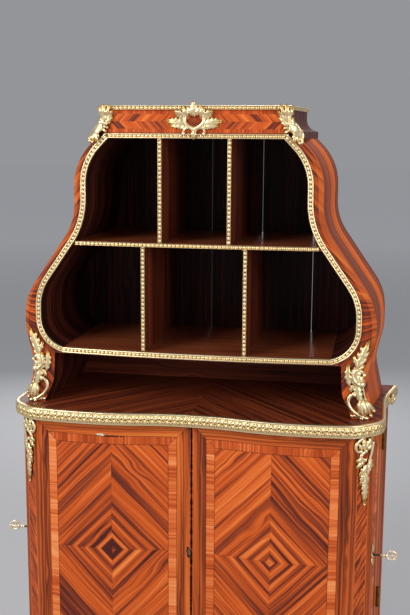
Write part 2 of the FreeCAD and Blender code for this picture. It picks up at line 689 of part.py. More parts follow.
def locks():
    """A rim lock on the door's inner face: a case, and a bolt that the key throws forward."""
    inner = f"{DOOR_INNER} - lock_deep"
    case = block((inner, DOOR_INNER), (f"-{LOCK_FRONT}", f"-{LOCK_FRONT} + lock_long"),
                 ("lock_z - lock_tall / 2", "lock_z + lock_tall / 2"))
    room = block((f"{inner} + lock_wall", DOOR_INNER),
                 (f"-{LOCK_FRONT} + lock_wall", f"-{LOCK_FRONT} + lock_long - lock_wall"),
                 ("lock_z - lock_tall / 2 + lock_wall", "lock_z + lock_tall / 2 - lock_wall"))
    tip_hole = rod("key_radius + pin_fit", "lock_deep", (inner, f"-{LOCK_Y}", "lock_z"), "x")
    middle = f"({DOOR_INNER} - lock_deep / 2)"
    level = "(lock_z + bolt_rise)"
    slot = block((f"{middle} - bolt_thick / 2 - bolt_fit", f"{middle} + bolt_thick / 2 + bolt_fit"),
                 (f"-{LOCK_FRONT}", f"-{LOCK_FRONT} + lock_wall"),
                 (f"{level} - bolt_tall / 2 - bolt_fit", f"{level} + bolt_tall / 2 + bolt_fit"))
    pair(cut(case, fuse([room, tip_hole, slot])), "lock_case")
    bolt = block((f"{middle} - bolt_thick / 2", f"{middle} + bolt_thick / 2"),
                 (f"-{LOCK_FRONT}", f"-{LOCK_FRONT} + bolt_long"),
                 (f"{level} - bolt_tall / 2", f"{level} + bolt_tall / 2"))
    pair(bolt, "lock_bolt")


def keys():
    """A key on the lock's axis with its bow upright, and the bit hanging in the lock case."""
    inner = f"({DOOR_INNER} - lock_deep)"
    shank_end = "(side_half + key_reach)"
    shank = rod("key_radius", f"{shank_end} - {inner}", (inner, f"-{LOCK_Y}", "lock_z"), "x")
    bit_start = f"{inner} + lock_wall + keyhole_fit"
    bit = block((bit_start, f"{bit_start} + bit_long"),
                (f"-{LOCK_Y} - bit_thick / 2", f"-{LOCK_Y} + bit_thick / 2"),
                ("lock_z - bit_drop", "lock_z"))
    bow = (f"{shank_end} + bow_hole", f"-{LOCK_Y} - bow_thick / 2", "lock_z")
    ring = cut(rod("bow_radius", "bow_thick", bow, "y"), rod("bow_hole", "bow_thick", bow, "y"))
    pair(fuse([shank, bit, ring]), "key")


def escutcheons():
    half = [(0.62, 0.62), (1, 0.3, 0.3), (0.55, -0.1, 0.4), (0.9, -0.42, 0.3), (0.3, -0.7)]
    shape = [(0, 1), *half, (0, -1), *other_side(half)]
    outline = spread(shape, f"-{LOCK_Y}", "plate_half_wide", "lock_z", "plate_half_tall")
    face = "side_half + plate_thick"
    body = new_body("escutcheon")
    plate(body, "x", "side_half", face, lambda sketch: draw(sketch, outline))
    doc.recompute()
    hollow(body, "x", "side_half", face,
           lambda sketch: draw_circle(sketch, f"-{LOCK_Y}", "lock_z", "key_radius + keyhole_fit"))
    hollow(body, "x", "side_half", face, lambda sketch: draw(sketch, key_slot("bit_thick / 2", "lock_z")))
    pair(body, "escutcheon")


def chutes():
    """Leaf-shaped mounts under the rim on the canted posts."""
    half = [(0.75, 0), (1, -0.16, 0.4), (0.45, -0.36, 0.6), (0.66, -0.55, 0.5), (0.22, -0.86)]
    outline = spread([*half, (0, -1), *other_side(half)], "0", "chute_half", "0", "chute_tall")
    body = new_body("chute")
    plate(body, "y", "-chute_thick", "0", lambda sketch: draw(sketch, outline))
    body.Placement = FreeCAD.Placement(FreeCAD.Vector(), FreeCAD.Rotation(FreeCAD.Vector(0, 0, 1), 1))
    bind(body, "Placement.Rotation.Angle", "cant_angle")
    bind(body, "Placement.Base.x", f"({PANEL_HALF} + side_half) / 2")
    bind(body, "Placement.Base.y", f"({PANEL_END_Y} + {POST_SIDE_Y}) / 2")
    bind(body, "Placement.Base.z", UNDER_TOP)
    pair(body, "chute")


# Upper case

def opening_line(inset="0"):
    """The right-hand edge of the opening, from its upper corner down to its lower one."""
    return [(f"{OPENING_TOP_X} - {inset}", "base_height + opening_top_z"),
            (f"waist_x - {inset}", "base_height + waist_high_z", "waist_high_round"),
            (f"waist_x - {inset}", "base_height + waist_low_z", "waist_low_round"),
            (f"bulge_x - {inset}", "base_height + bulge_high_z", "bulge_high_round"),
            (f"bulge_x - {inset}", "base_height + bulge_low_z", "bulge_low_round"),
            (f"opening_low_x - {inset}", "base_height + opening_low_z")]


def leg_line(inset="0"):
    """The inner edge of the right-hand leg, from the case's bottom board down to the base top."""
    return [(f"leg_top_x - {inset}", UNDER_CASE),
            (f"leg_low_x - {inset}", "base_height + leg_low_z", "leg_round"),
            (f"heel_x - {inset}", "base_height")]


def side_section(out):
    """A side seen from the front, with its outer line moved out by a distance."""
    low_end = "opening_low_x + board_housing"
    inner = opening_line() + [
        (low_end, "base_height + opening_low_z"), (low_end, UNDER_CASE), *leg_line()]
    outer = [(f"toe_x + {out}", "base_height"),
             (f"neck_x + {out}", "base_height + neck_z", "side_round"),
             (f"{OUTER_BELLY_X} + {out}", "base_height + belly_low_z", "side_round"),
             (f"{OUTER_BELLY_X} + {out}", "base_height + belly_high_z", "side_round"),
             (f"{OUTER_WAIST_X} + {out}", "base_height + shoulder_low_z", "side_round"),
             (f"{OUTER_WAIST_X} + {out}", "base_height + shoulder_high_z", "side_round"),
             (f"{SHOULDER_X} + {out}", "base_height + opening_top_z")]
    return inner + outer


def upper_sides():
    """Violin-shaped sides: a canted front edge, a shallow channel and a flared rear stile."""
    body = new_body("upper_side")
    stations = [("0", "-cant_in"), ("cant_deep", "0"), ("channel_deep", "-channel_in"),
                ("rear_stile", "side_flare"), ("front_y + back_y", "side_flare")]
    loft(body, "XZ_Plane", [(f"front_y - ({deep})", side_section(out)) for deep, out in stations])
    doc.recompute()
    floor = "base_height + shelf_top_z - shelf_thick - shelf_fit"
    roof = "base_height + shelf_top_z"
    end = f"{SHELF_END} + shelf_fit"
    housing = [("waist_x", floor), (end, floor), (end, roof), ("waist_x", roof)]
    hollow(body, "y", "-front_y", "back_y", lambda sketch: draw(sketch, housing))
    pair(body, "upper_side")
    return body


def case_boards():
    inside = "(back_y - plank_thick)"
    bowed_board("case_bottom", "opening_low_x", "case_bow", "back_y",
                UNDER_CASE, "base_height + opening_low_z",
                end="opening_low_x + board_housing")
    bowed_board("case_shelf", SHELF_EDGE, "shelf_bow", inside,
                "base_height + shelf_top_z - shelf_thick", "base_height + shelf_top_z", end=SHELF_END)
    ceiling = bowed_board("case_ceiling", OPENING_TOP_X, "crest_bow", inside,
                          "base_height + opening_top_z", "base_height + opening_top_z + ceiling_thick")
    rows = (("upper", "base_height + shelf_top_z", "base_height + opening_top_z"),
            ("lower", "base_height + opening_low_z", "base_height + shelf_top_z - shelf_thick"))
    strips = []
    for row, low, high in rows:
        face = f"(-front_y - {row}_divider_ahead)"
        middle = f"{row}_divider_x"
        divider = block((f"{middle} - divider_thick / 2", f"{middle} + divider_thick / 2"),
                        (face, inside), (low, high))
        pair(divider, f"{row}_divider")
        strip = bevelled(block((f"{middle} - divider_strip / 2", f"{middle} + divider_strip / 2"),
                              (f"{face} - strip_thick", face), (low, high)))
        strips += [strip, twin_of(strip)]
    group("divider_strips", strips)
    rail = new_body("case_rail")
    plate(rail, "y", "back_y - rail_thick", "back_y",
          lambda sketch: draw(sketch, both_halves(leg_line("plank_play"))))
    keep(rail, "case_rail")
    return ceiling


def back_planks():
    """Upright back boards with open seams between them."""
    half = [(f"{OPENING_TOP_X} - plank_play", "base_height + crest_z"), *opening_line("plank_play")]
    body = new_body("plank_blank")
    plate(body, "y", "back_y - plank_thick", "back_y", lambda sketch: draw(sketch, both_halves(half)))
    seams = []
    for turn in (-1, 0, 1, 2):
        middle = f"({turn} * plank_wide - plank_shift)"
        seams.append(block((f"{middle} - plank_seam / 2", f"{middle} + plank_seam / 2"),
                           ("back_y - plank_thick - plank_seam", "back_y + plank_seam"),
                           ("base_height", "base_height + crest_z + plank_seam")))
    keep(cut(body, fuse(seams)), "back_planks")


def bevelled(item):
    """Bevel the long front edges of a gilt strip."""
    doc.recompute()
    front = item.Shape.BoundBox.YMin
    bevel = number("strip_bevel")
    edges = [(index, bevel, bevel) for index, edge in enumerate(item.Shape.Edges, start=1)
             if edge.BoundBox.YMax < front + bevel / 2 and edge.Length > number("strip_wide")]
    strip = doc.addObject("Part::Chamfer", "bevelled")
    strip.Base = item
    strip.Edges = edges
    return strip


def opening_strips():
    """Gilt strips that frame the opening: two up its sides and three across."""
    path = doc.addObject("Sketcher::SketchObject", "opening_path")
    path.Placement = FreeCAD.Placement(FreeCAD.Vector(), FreeCAD.Rotation(FreeCAD.Vector(1, 0, 0), 90))
    bind(path, "Placement.Base.y", "-front_y")
    draw(path, opening_line(), closed=False)
    band = doc.addObject("Part::Offset2D", "opening_band")
    band.Source = path
    band.Mode = "Pipe"
    band.Fill = True
    bind(band, "Value", "strip_wide")
    both_sides = doc.addObject("Part::Extrusion", "opening_strip")
    both_sides.Base = band
    both_sides.DirMode = "Custom"
    both_sides.Dir = FreeCAD.Vector(0, -1, 0)
    both_sides.Solid = True
    bind(both_sides, "LengthFwd", "strip_thick")
    top = "base_height + opening_top_z + ceiling_strip"
    room = new_body("opening_room")
    outline = [(SHOULDER_X, f"{top} + strip_wide"), (SHOULDER_X, top), (OPENING_TOP_X, top),
               *opening_line(), ("opening_low_x", "base_height + opening_low_z - 2 * strip_wide")]
    plate(room, "y", "-front_y - 2 * strip_thick", "-front_y",
          lambda sketch: draw(sketch, both_halves(outline)))
    strip = cut(both_sides, room)
    pair(strip, "opening_strip")
    made = {"strip": strip}
    for name, half, bow, low, high in (
            ("ceiling_strip", f"{OPENING_TOP_X} - strip_gap", "crest_bow", "opening_top_z",
             "opening_top_z + ceiling_strip"),
            ("shelf_strip", f"{SHELF_EDGE} - strip_gap", "shelf_bow", "shelf_top_z - shelf_thick",
             "shelf_top_z"),
            ("bottom_strip", "opening_low_x - strip_gap", "case_bow", "opening_low_z - bottom_strip",
             "opening_low_z")):
        back = f"(-front_y - {bow} - trim_gap)"
        front = f"({back} + trim_gap - strip_thick)"
        bevel_y = f"{front} + strip_bevel"
        section = [(back, low), (bevel_y, low), (front, f"{low} + strip_bevel"),
                   (front, f"{high} - strip_bevel"), (bevel_y, high), (back, high)]
        section = [(y, f"base_height + {z}") for y, z in section]
        made[name] = half_moulding(name, bow_path(half, "-front_y", bow), f"base_height + {high}", section)
    return made


def crest():
    """The frieze on the case, with cavetto ends, a top board and a gilt rim."""
    low = "base_height + opening_top_z"
    high = "base_height + crest_z"
    frieze = bowed_board("crest_frieze", "crest_half", "crest_bow", "-front_y + frieze_thick",
                         f"{low} + ceiling_thick", high, corner="crest_corner_round")

    def end_section(plinth_flare, flare):
        face = f"crest_half + plinth_out + {plinth_flare}"
        ledge = f"{low} + plinth_tall"
        return [(OPENING_TOP_X, low), (face, low), (face, ledge), (f"{face} - plinth_fillet", ledge),
                (f"crest_half + {flare}", f"{ledge} + cavetto_rise", "cavetto_round"),
                (f"crest_half + {flare}", high), (OPENING_TOP_X, high)]

    body = new_body("crest_end")
    loft(body, "XZ_Plane", [("front_y - frieze_thick", end_section("0", "0")),
                            ("-back_y", end_section("side_flare", "crest_flare"))])
    pair(body, "crest_end")
    middle_line, corner = bow_path("crest_half", "-front_y", "crest_bow")[1:]
    edge_line = [middle_line, (*corner, "crest_corner_round"), ("crest_half + crest_flare", "back_y")]
    board("crest_top", "z", high, f"{high} + crest_top_thick", both_halves(edge_line))
    edge = "-(front_y + crest_bow + trim_gap)"
    rim_low = f"base_height + {CREST_RIM_LOW}"
    section = [(edge, rim_low), (f"{edge} - crest_rim_proud / 2", rim_low),
               (f"{edge} - crest_rim_proud", f"{rim_low} + crest_rim_tall / 2"),
               (f"{edge} - crest_rim_proud", f"{rim_low} + crest_rim_tall"),
               (edge, f"{rim_low} + crest_rim_tall")]
    rim = half_moulding("crest_rim", [("0", "-(front_y + crest_bow)"), *edge_line], high, section)
    return {"frieze": frieze, "end": body, "rim": rim}


def case_mounts(wood):
    """Gilt mounts bedded on the wood: at the crest's corners, on the upper feet and on the frieze."""
    def bedded(name, corners, front, back, beds):
        body = new_body(name + "_blank")
        plate(body, "y", front, back, lambda sketch: draw(sketch, corners))
        for bed in beds:
            body = cut(body, bed)
        return body

    foot = [("toe_x + mount_proud", "base_height"),
            ("neck_x + mount_proud", "base_height + neck_z", "side_round"),
            (f"{OUTER_BELLY_X}", "base_height + foot_mount_tall", "mount_proud"),
            ("neck_x - foot_mount_wide / 2", "base_height + 0.75 * foot_mount_tall", "foot_mount_wide"),
            ("neck_x - foot_mount_wide", "base_height + 0.35 * foot_mount_tall", "foot_mount_wide"),
            ("toe_x - 1.3 * foot_mount_wide", "base_height")]
    pair(bedded("foot_mount", foot, "-front_y - mount_proud", "-front_y + 2 * cant_deep", [wood["side"]]),
         "foot_mount")
    leaf = spread([(-0.3, 0), (0.17, 0), (0.4, -0.3, 0.2), (0.74, -0.56), (0.83, -0.85, 0.13),
                   (0.48, -0.96), (0.2, -0.72, 0.2), (-0.13, -0.46, 0.25)],
                  "crest_half", "corner_mount_wide", f"base_height + {CREST_RIM_LOW}", "corner_mount_tall")
    pair(bedded("corner_mount", leaf, "-front_y - mount_proud - strip_thick", "-front_y + frieze_thick",
                [wood[name] for name in ("frieze", "end", "side", "strip", "ceiling", "ceiling_strip")]),
         "corner_mount")
    half = [(0.1, 0.84), (0.3, 0.62, 0.1), (0.52, 0.66), (0.6, 0.3, 0.1), (1, 0.16), (0.82, -0.16, 0.1),
            (0.5, -0.22, 0.12), (0.42, -0.55), (0.14, -0.7, 0.1)]
    outline = spread([(0, 1), *half, (0, -1.05), *other_side(half)],
                     "0", "badge_half", "base_height + badge_z", "badge_rise")
    face = "(-front_y - crest_bow)"
    keep(bedded("cartouche", outline, f"{face} - badge_thick", face,
                [wood["rim"], wood["ceiling_strip"]]), "cartouche")


def build():
    base_top()
    front_panels()
    front_posts()
    rear_posts()
    carcase_boards()
    aprons()
    doors()
    hinges()
    locks()
    keys()
    escutcheons()
    chutes()
    side = upper_sides()
    ceiling = case_boards()
    back_planks()
    wood = {"side": side, "ceiling": ceiling, **opening_strips(), **crest()}
    case_mounts(wood)


def check_and_write():
    doc.recompute()
    for item in doc.Objects:
        if "Invalid" in item.State or "Error" in item.State:
            raise RuntimeError(f"{item.Label} did not build: {item.State}")
    for item in nodes:
        if item.Shape.isNull() or not item.Shape.isValid() or not item.Shape.Solids:
            raise RuntimeError(f"{item.Label} has no valid solid")
    os.makedirs("parts", exist_ok=True)
    for item in nodes:
        item.Shape.exportStep(f"parts/{item.Label}.step")
    print(len(nodes), "sub-parts written")


build()
check_and_write()
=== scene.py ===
# %% [markdown]
# A cartonnier is a cupboard for papers: a serpentine base with a door in each side, and on its top an open
# case of pigeonholes with violin-shaped sides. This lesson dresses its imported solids. Every board could be
# modelled again, but the solids already have the right shapes, so the wood keeps them and gets its veneers
# from nodes. The gilt bronze mounts are much richer than their solids, so they are modelled anew over them.
# Everything is in metres in the solids' own frame: X to the right, Y to the back, Z up.

# %% Load the solids
import bpy
import bmesh
import math
from mathutils import Matrix, Vector


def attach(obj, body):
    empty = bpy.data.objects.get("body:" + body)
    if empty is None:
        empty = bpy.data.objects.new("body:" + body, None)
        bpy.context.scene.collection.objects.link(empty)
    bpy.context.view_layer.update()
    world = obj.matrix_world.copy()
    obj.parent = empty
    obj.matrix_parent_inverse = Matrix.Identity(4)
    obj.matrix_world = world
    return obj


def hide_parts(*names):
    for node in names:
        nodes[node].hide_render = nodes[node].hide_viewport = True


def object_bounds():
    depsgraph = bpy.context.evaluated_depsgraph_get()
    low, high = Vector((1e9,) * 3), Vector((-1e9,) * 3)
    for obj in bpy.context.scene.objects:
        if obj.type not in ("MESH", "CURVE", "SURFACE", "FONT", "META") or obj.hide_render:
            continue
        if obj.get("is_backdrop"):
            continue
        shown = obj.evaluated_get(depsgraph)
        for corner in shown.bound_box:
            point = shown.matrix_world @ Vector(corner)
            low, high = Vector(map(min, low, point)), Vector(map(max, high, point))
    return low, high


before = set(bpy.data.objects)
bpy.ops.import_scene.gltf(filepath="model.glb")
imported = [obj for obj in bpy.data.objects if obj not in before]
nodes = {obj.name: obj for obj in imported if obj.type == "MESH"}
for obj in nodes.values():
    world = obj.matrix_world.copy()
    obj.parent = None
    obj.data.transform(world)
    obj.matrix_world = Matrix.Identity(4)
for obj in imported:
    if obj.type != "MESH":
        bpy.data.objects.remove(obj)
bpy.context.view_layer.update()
scene = bpy.context.scene

# %% [markdown]
# The picture was taken from a little above the case and to the right of its middle, with a long lens. A
# camera can be placed by eye, but this one's place was worked out from corners that show in the picture, so
# that the render can be laid over it. The sensor's width belongs to the long side of an upright frame.

# %% The camera
LENS_MM, SENSOR_MM = 57.15, 36
STAND = (0.4576, -2.4803, 1.5167)
TURN_DEGREES, DOWN_DEGREES, ROLL_DEGREES = 10.40, 10.28, 0.31
camera = bpy.data.objects.new("camera", bpy.data.cameras.new("camera"))
scene.collection.objects.link(camera)
camera.data.sensor_width = SENSOR_MM
camera.data.lens = LENS_MM
turn = Matrix.Rotation(math.radians(TURN_DEGREES), 4, "Z")
tip = Matrix.Rotation(math.radians(90 - DOWN_DEGREES), 4, "X")
roll = Matrix.Rotation(math.radians(ROLL_DEGREES), 4, "Z")
camera.matrix_world = Matrix.Translation(STAND) @ turn @ tip @ roll
scene.camera = camera
print("camera stands at", tuple(camera.location))

# %% [markdown]
# A node tree is easier to read when every node is added in one line. This one function adds a node of any
# kind, sets it up, and feeds its inputs with numbers or with other nodes. Colours are written as the hex
# values that a paint program shows, and another function turns them into the linear numbers that a shader
# works with.

# %% Colours and nodes
def linear(text):
    """The linear colour of an sRGB hex value."""
    shares = [int(text[place:place + 2], 16) / 255 for place in (1, 3, 5)]
    return tuple(s / 12.92 if s <= 0.04045 else ((s + 0.055) / 1.055) ** 2.4 for s in shares) + (1,)


def add(tree, kind, feeds=(), stops=(), **settings):
    """Adds a node; feeds go to its inputs by order or by name, and stops are a ramp's places and colours."""
    node = tree.nodes.new("ShaderNode" + kind)
    for name, value in settings.items():
        setattr(node, name, value)
    for place, (spot, colour) in enumerate(stops):
        if place > 1:
            node.color_ramp.elements.new(spot)
        node.color_ramp.elements[place].position = spot
        node.color_ramp.elements[place].color = linear(colour)
    live = [socket for socket in node.inputs if socket.enabled]
    for place, value in feeds.items() if isinstance(feeds, dict) else enumerate(feeds):
        socket = live[place] if isinstance(place, int) else next(s for s in live if s.name == place)
        if isinstance(value, bpy.types.Node):
            value = next(o for o in value.outputs if o.enabled)
        if isinstance(value, bpy.types.NodeSocket):
            tree.links.new(value, socket)
        else:
            socket.default_value = value
    return node


print("middle grey is", round(linear("#808080")[0], 3), "in linear light")

# %% Empty materials
def new_material(name):
    """An empty material, its tree, and the place on the object in millimetres as separate X, Y and Z."""
    material = bpy.data.materials.new(name)
    material.use_nodes = True
    tree = material.node_tree
    tree.nodes.clear()
    place = add(tree, "TexCoord").outputs["Object"]
    millimetres = add(tree, "VectorMath", (place, (1000, 1000, 1000)), operation="MULTIPLY")
    return material, tree, add(tree, "SeparateXYZ", (millimetres,)).outputs


paper, tree, (x, y, z) = new_material("studio_paper")
print("an empty material has", len(tree.nodes), "nodes")

# %% [markdown]
# The studio is a wide pale floor, so that the object can be seen from every side. A backdrop could be bent
# up behind it, but it would stand in the way of the other views, and a disc is enough. Its paper is paler
# further out, where less lamp light reaches it, so that it looks even. The air round it is a plain grey to
# the camera, to gloss and to glass, of the same depth as the far floor, so that no horizon shows, and a
# paler grey to everything else, which fills the shadows. The light is soft: one large lamp from the upper
# left in front, a weaker one from the right, and two faint ones behind.

# %% Floor
FLOOR_RADIUS = 40
LIT_TO, DIM_FROM = 1500, 11000
floor_mesh = bpy.data.meshes.new("studio_floor")
bm = bmesh.new()
bmesh.ops.create_circle(bm, cap_ends=True, segments=96, radius=FLOOR_RADIUS)
bm.to_mesh(floor_mesh)
bm.free()
floor = bpy.data.objects.new("studio_floor", floor_mesh)
scene.collection.objects.link(floor)
far = add(tree, "VectorMath", (add(tree, "CombineXYZ", (x, y, 0)),), operation="LENGTH").outputs["Value"]
lit_less = add(tree, "MapRange", {"Value": far, "From Min": LIT_TO, "From Max": DIM_FROM})
tone = add(tree, "ValToRGB", (lit_less,), ((0, "#B2B2B4"), (1, "#ECECEE")))
matt = add(tree, "BsdfDiffuse", {"Color": tone})
add(tree, "OutputMaterial", (matt,))
floor_mesh.materials.append(paper)
floor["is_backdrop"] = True
print("floor is", 2 * FLOOR_RADIUS, "m wide")

# %% Lamps
def soft_lamp(name, place, aim, size, watts):
    """A square area lamp that points at aim."""
    lamp = bpy.data.objects.new(name, bpy.data.lights.new(name, "AREA"))
    lamp.data.size = size
    lamp.data.energy = watts
    lamp.location = place
    lamp.rotation_euler = (Vector(aim) - Vector(place)).to_track_quat("-Z", "Y").to_euler()
    scene.collection.objects.link(lamp)


soft_lamp("key_left", (-2.2, -2.6, 2.7), (0, 0, 0.95), 1.8, 105)
soft_lamp("fill_right", (2.6, -2.2, 1.8), (0, 0, 0.9), 1.8, 55)
soft_lamp("top_back", (0.4, 1.0, 3.2), (0, 0, 1.2), 1.4, 30)
soft_lamp("low_back", (-0.8, 3.0, 1.8), (0, 0, 0.9), 1.8, 35)

# %% Air of the studio
world = bpy.data.worlds.new("studio_air")
world.use_nodes = True
air = world.node_tree
air.nodes.clear()
rays = add(air, "LightPath").outputs
seen = add(air, "Math", (rays["Is Camera Ray"], rays["Is Glossy Ray"]), operation="MAXIMUM")
seen_or_through = add(air, "Math", (seen, rays["Is Transmission Ray"]), operation="MAXIMUM")
fill = add(air, "Background", {"Color": linear("#D8DADF"), "Strength": 0.5})
backdrop = add(air, "Background", {"Color": linear("#949599"), "Strength": 1})
add(air, "OutputWorld", (add(air, "MixShader", (seen_or_through, fill, backdrop)),))
scene.world = world
scene.view_settings.view_transform = "Standard"
print("air nodes:", len(air.nodes))

# %% [markdown]
# Kingwood and tulipwood are the violet-brown and orange rosewoods of French veneer. Their figure is a set
# of straight dark streaks of all widths, from a hair to two fingers, and here and there a stretch where the
# lines swing round in nested arches. A picture of wood could be laid on, but it would repeat, and it
# couldn't turn with every leaf. So nodes draw the figure: stretched noise gives the streaks, and another
# noise pushes them sideways, a little everywhere and a lot in a few places, which makes the arches. The
# group takes a grain vector: millimetres across the grain, millimetres along it, and a number for the leaf
# of veneer. So each material only has to say how its leaves are laid. A leaf's number has no unit: it only
# has to differ.

# %% The figure of kingwood
STILL_MM, WILD_MM = 3, 26
WILD_FROM, WILD_TO = 0.56, 0.76
WILD_WIDE, WILD_LONG = 75, 140
WANDER_WIDE, WANDER_LONG = 46, 105
figure = bpy.data.node_groups.new("kingwood_figure", "ShaderNodeTree")
figure.interface.new_socket("Grain", in_out="INPUT", socket_type="NodeSocketVector")
figure.interface.new_socket("Streak", in_out="OUTPUT", socket_type="NodeSocketFloat")
figure.interface.new_socket("Line", in_out="OUTPUT", socket_type="NodeSocketFloat")
grain_in = figure.nodes.new("NodeGroupInput").outputs["Grain"]
figure_out = figure.nodes.new("NodeGroupOutput")
wild_size = (1 / WILD_WIDE, 1 / WILD_LONG, 1)
wild_place = add(figure, "VectorMath", (grain_in, wild_size), operation="MULTIPLY")
wild = add(figure, "TexNoise", {"Vector": wild_place, "Scale": 1, "Detail": 0})
reach = add(figure, "MapRange", {"Value": wild, "From Min": WILD_FROM, "From Max": WILD_TO,
                                 "To Min": STILL_MM, "To Max": WILD_MM})
wander_size = (1 / WANDER_WIDE, 1 / WANDER_LONG, 1)
wander_place = add(figure, "VectorMath", (grain_in, wander_size), operation="MULTIPLY")
wander = add(figure, "TexNoise", {"Vector": wander_place, "Scale": 1, "Detail": 1})
wander_way = add(figure, "Math", (wander, 2, -1), operation="MULTIPLY_ADD")
shift = add(figure, "CombineXYZ", (add(figure, "Math", (wander_way, reach), operation="MULTIPLY"), 0, 0))
wandered = add(figure, "VectorMath", (grain_in, shift), operation="ADD")
print("wandering grain:", len(figure.nodes), "nodes")

# %% Streaks and fine lines
WIDE_SIZE = (1 / 32, 1 / 1500, 1)
NARROW_SIZE = (1 / 9, 1 / 700, 1.7)
LINE_SIZE = (1 / 4.4, 1 / 240, 3)
WIDE_SHARE, NARROW_SHARE = 0.46, 0.54
wide_place = add(figure, "VectorMath", (wandered, WIDE_SIZE), operation="MULTIPLY")
wide = add(figure, "TexNoise", {"Vector": wide_place, "Scale": 1, "Detail": 0})
narrow_place = add(figure, "VectorMath", (wandered, NARROW_SIZE), operation="MULTIPLY")
narrow = add(figure, "TexNoise", {"Vector": narrow_place, "Scale": 1, "Detail": 1})
line_place = add(figure, "VectorMath", (wandered, LINE_SIZE), operation="MULTIPLY")
line = add(figure, "TexNoise", {"Vector": line_place, "Scale": 1, "Detail": 1})
wide_part = add(figure, "Math", (wide, WIDE_SHARE), operation="MULTIPLY")
streak = add(figure, "Math", (narrow, NARROW_SHARE, wide_part), operation="MULTIPLY_ADD")
figure.links.new(streak.outputs[0], figure_out.inputs["Streak"])
figure.links.new(line.outputs[0], figure_out.inputs["Line"])
print("figure nodes:", len(figure.nodes))

# %% [markdown]
# Each wood is a ramp of colours over that figure, from its darkest streak to its lightest ground. Kingwood
# gives the eye violet-brown streaks on orange, and tulipwood a paler and pinker orange. Straight kingwood
# is browner. The tops have darkened almost to black, the crest's ends are purple, the boards in the case
# are stained red-brown, and oak is a dull brown.

# %% Colours of the woods
KINGWOOD = ((0.35, "#4E2019"), (0.42, "#7A331E"), (0.475, "#A6451A"), (0.53, "#C4541D"), (0.60, "#D8672A"),
            (0.70, "#E68542"))
TULIPWOOD = ((0.28, "#983A14"), (0.42, "#C05320"), (0.54, "#DE743A"), (0.70, "#EE965A"))
STRAIGHT = ((0.36, "#4E2016"), (0.44, "#7E3518"), (0.50, "#A84A1C"), (0.57, "#C25A23"), (0.68, "#D67230"))
DARK_TOP = ((0.37, "#240E09"), (0.46, "#40190F"), (0.53, "#602615"), (0.62, "#823C1E"))
PURPLE = ((0.36, "#2A1412"), (0.47, "#4C2520"), (0.55, "#66342A"), (0.68, "#7C4331"))
STAINED = ((0.36, "#2A110C"), (0.48, "#4E2014"), (0.58, "#6E301C"), (0.70, "#884628"))
OAK = ((0.36, "#4A3220"), (0.50, "#6C4B2F"), (0.66, "#8A6440"))


def leaf_colour(tree, grain, colours, fine=0.2, shade=0):
    """The colour of a leaf of veneer and its fine lines. Grain is (across, along, leaf), fine is the share of
    the fine lines in the colour, and shade moves it along its ramp."""
    wood = add(tree, "Group", (add(tree, "CombineXYZ", grain),), node_tree=figure)
    streaks = add(tree, "Math", (wood.outputs["Streak"], 1 - fine, shade), operation="MULTIPLY_ADD")
    both = add(tree, "Math", (wood.outputs["Line"], fine, streaks), operation="MULTIPLY_ADD")
    return add(tree, "ValToRGB", (both,), colours), wood.outputs["Line"]


print("colours in kingwood:", len(KINGWOOD))

# %% [markdown]
# French polish is many rubbed coats of shellac. It is a thin clear layer over the wood, so the shader is a
# fairly rough wood under a weak coat, which leaves the colour deep and shows the studio only at a slant.
# The fine lines also lift the surface a very little, as old veneer shows its pores. Pores are finer than
# the render can show, so the lines are drawn a few millimetres apart.

# %% French polish
def french_polish(material, tree, colour, fine_lines, roughness=0.56, coat=0.05):
    """Closes a wood material: bump from the fine lines, wood under a clear coat."""
    bump = add(tree, "Bump", {"Height": fine_lines, "Strength": 0.12, "Distance": 0.0006})
    shader = add(tree, "BsdfPrincipled", {"Base Color": colour, "Roughness": roughness, "Normal": bump})
    shader.inputs["Specular IOR Level"].default_value = 0.14
    shader.inputs["Coat Weight"].default_value = coat
    shader.inputs["Coat Roughness"].default_value = 0.22
    add(tree, "OutputMaterial", (shader,))
    return material


def dress(material, *names):
    """Gives the material to solids of these names, left and right."""
    for name in names:
        for node in (name, name + "_left", name + "_right"):
            if node in nodes:
                nodes[node].data.materials.clear()
                nodes[node].data.materials.append(material)
    print(material.name, "on", *names)


print("solids to dress:", len(nodes))

# %% [markdown]
# Each front panel is quartered: four leaves of kingwood are cut so that their streaks run as a diamond
# round the middle, where a few dark rings close on a small heart. A light tulipwood band is laid across its
# grain round the field, in short lengths that never quite match, and a frame of two straight strips with
# mitred corners closes the edge. Every leaf could be a piece of its own, but veneer lies flush, so one
# material draws them all. It measures from the panel's middle how far a point is outside the field: below
# zero it is field, then band, then frame. The side doors are made in the same way.

# %% Where a point is on a panel
BAND_WIDE = 22
FRAME_STRIP = 17


def panel_places(tree, across, up, half_wide, half_tall):
    """How far a point is from the middle both ways, how far outside the field, whether it is past the field's
    side, and how far from a mitre."""
    far_out = add(tree, "Math", (across,), operation="ABSOLUTE")
    far_up = add(tree, "Math", (up,), operation="ABSOLUTE")
    past_side = add(tree, "Math", (far_out, half_wide), operation="SUBTRACT")
    past_end = add(tree, "Math", (far_up, half_tall), operation="SUBTRACT")
    outside = add(tree, "Math", (past_side, past_end), operation="MAXIMUM")
    upright = add(tree, "Math", (past_side, past_end), operation="GREATER_THAN")
    mitre = add(tree, "Math", (past_side, past_end), operation="SUBTRACT")
    return far_out, far_up, outside, upright, add(tree, "Math", (mitre,), operation="ABSOLUTE")


print("band and frame are", BAND_WIDE + 2 * FRAME_STRIP, "mm wide")

# %% The four quarters
HEART_FROM, HEART_TO = 20, 23
RING_APART, RING_START = 24, 0.4
RINGS_FROM, RINGS_TO = 58, 95
RING_SHADE = -0.09


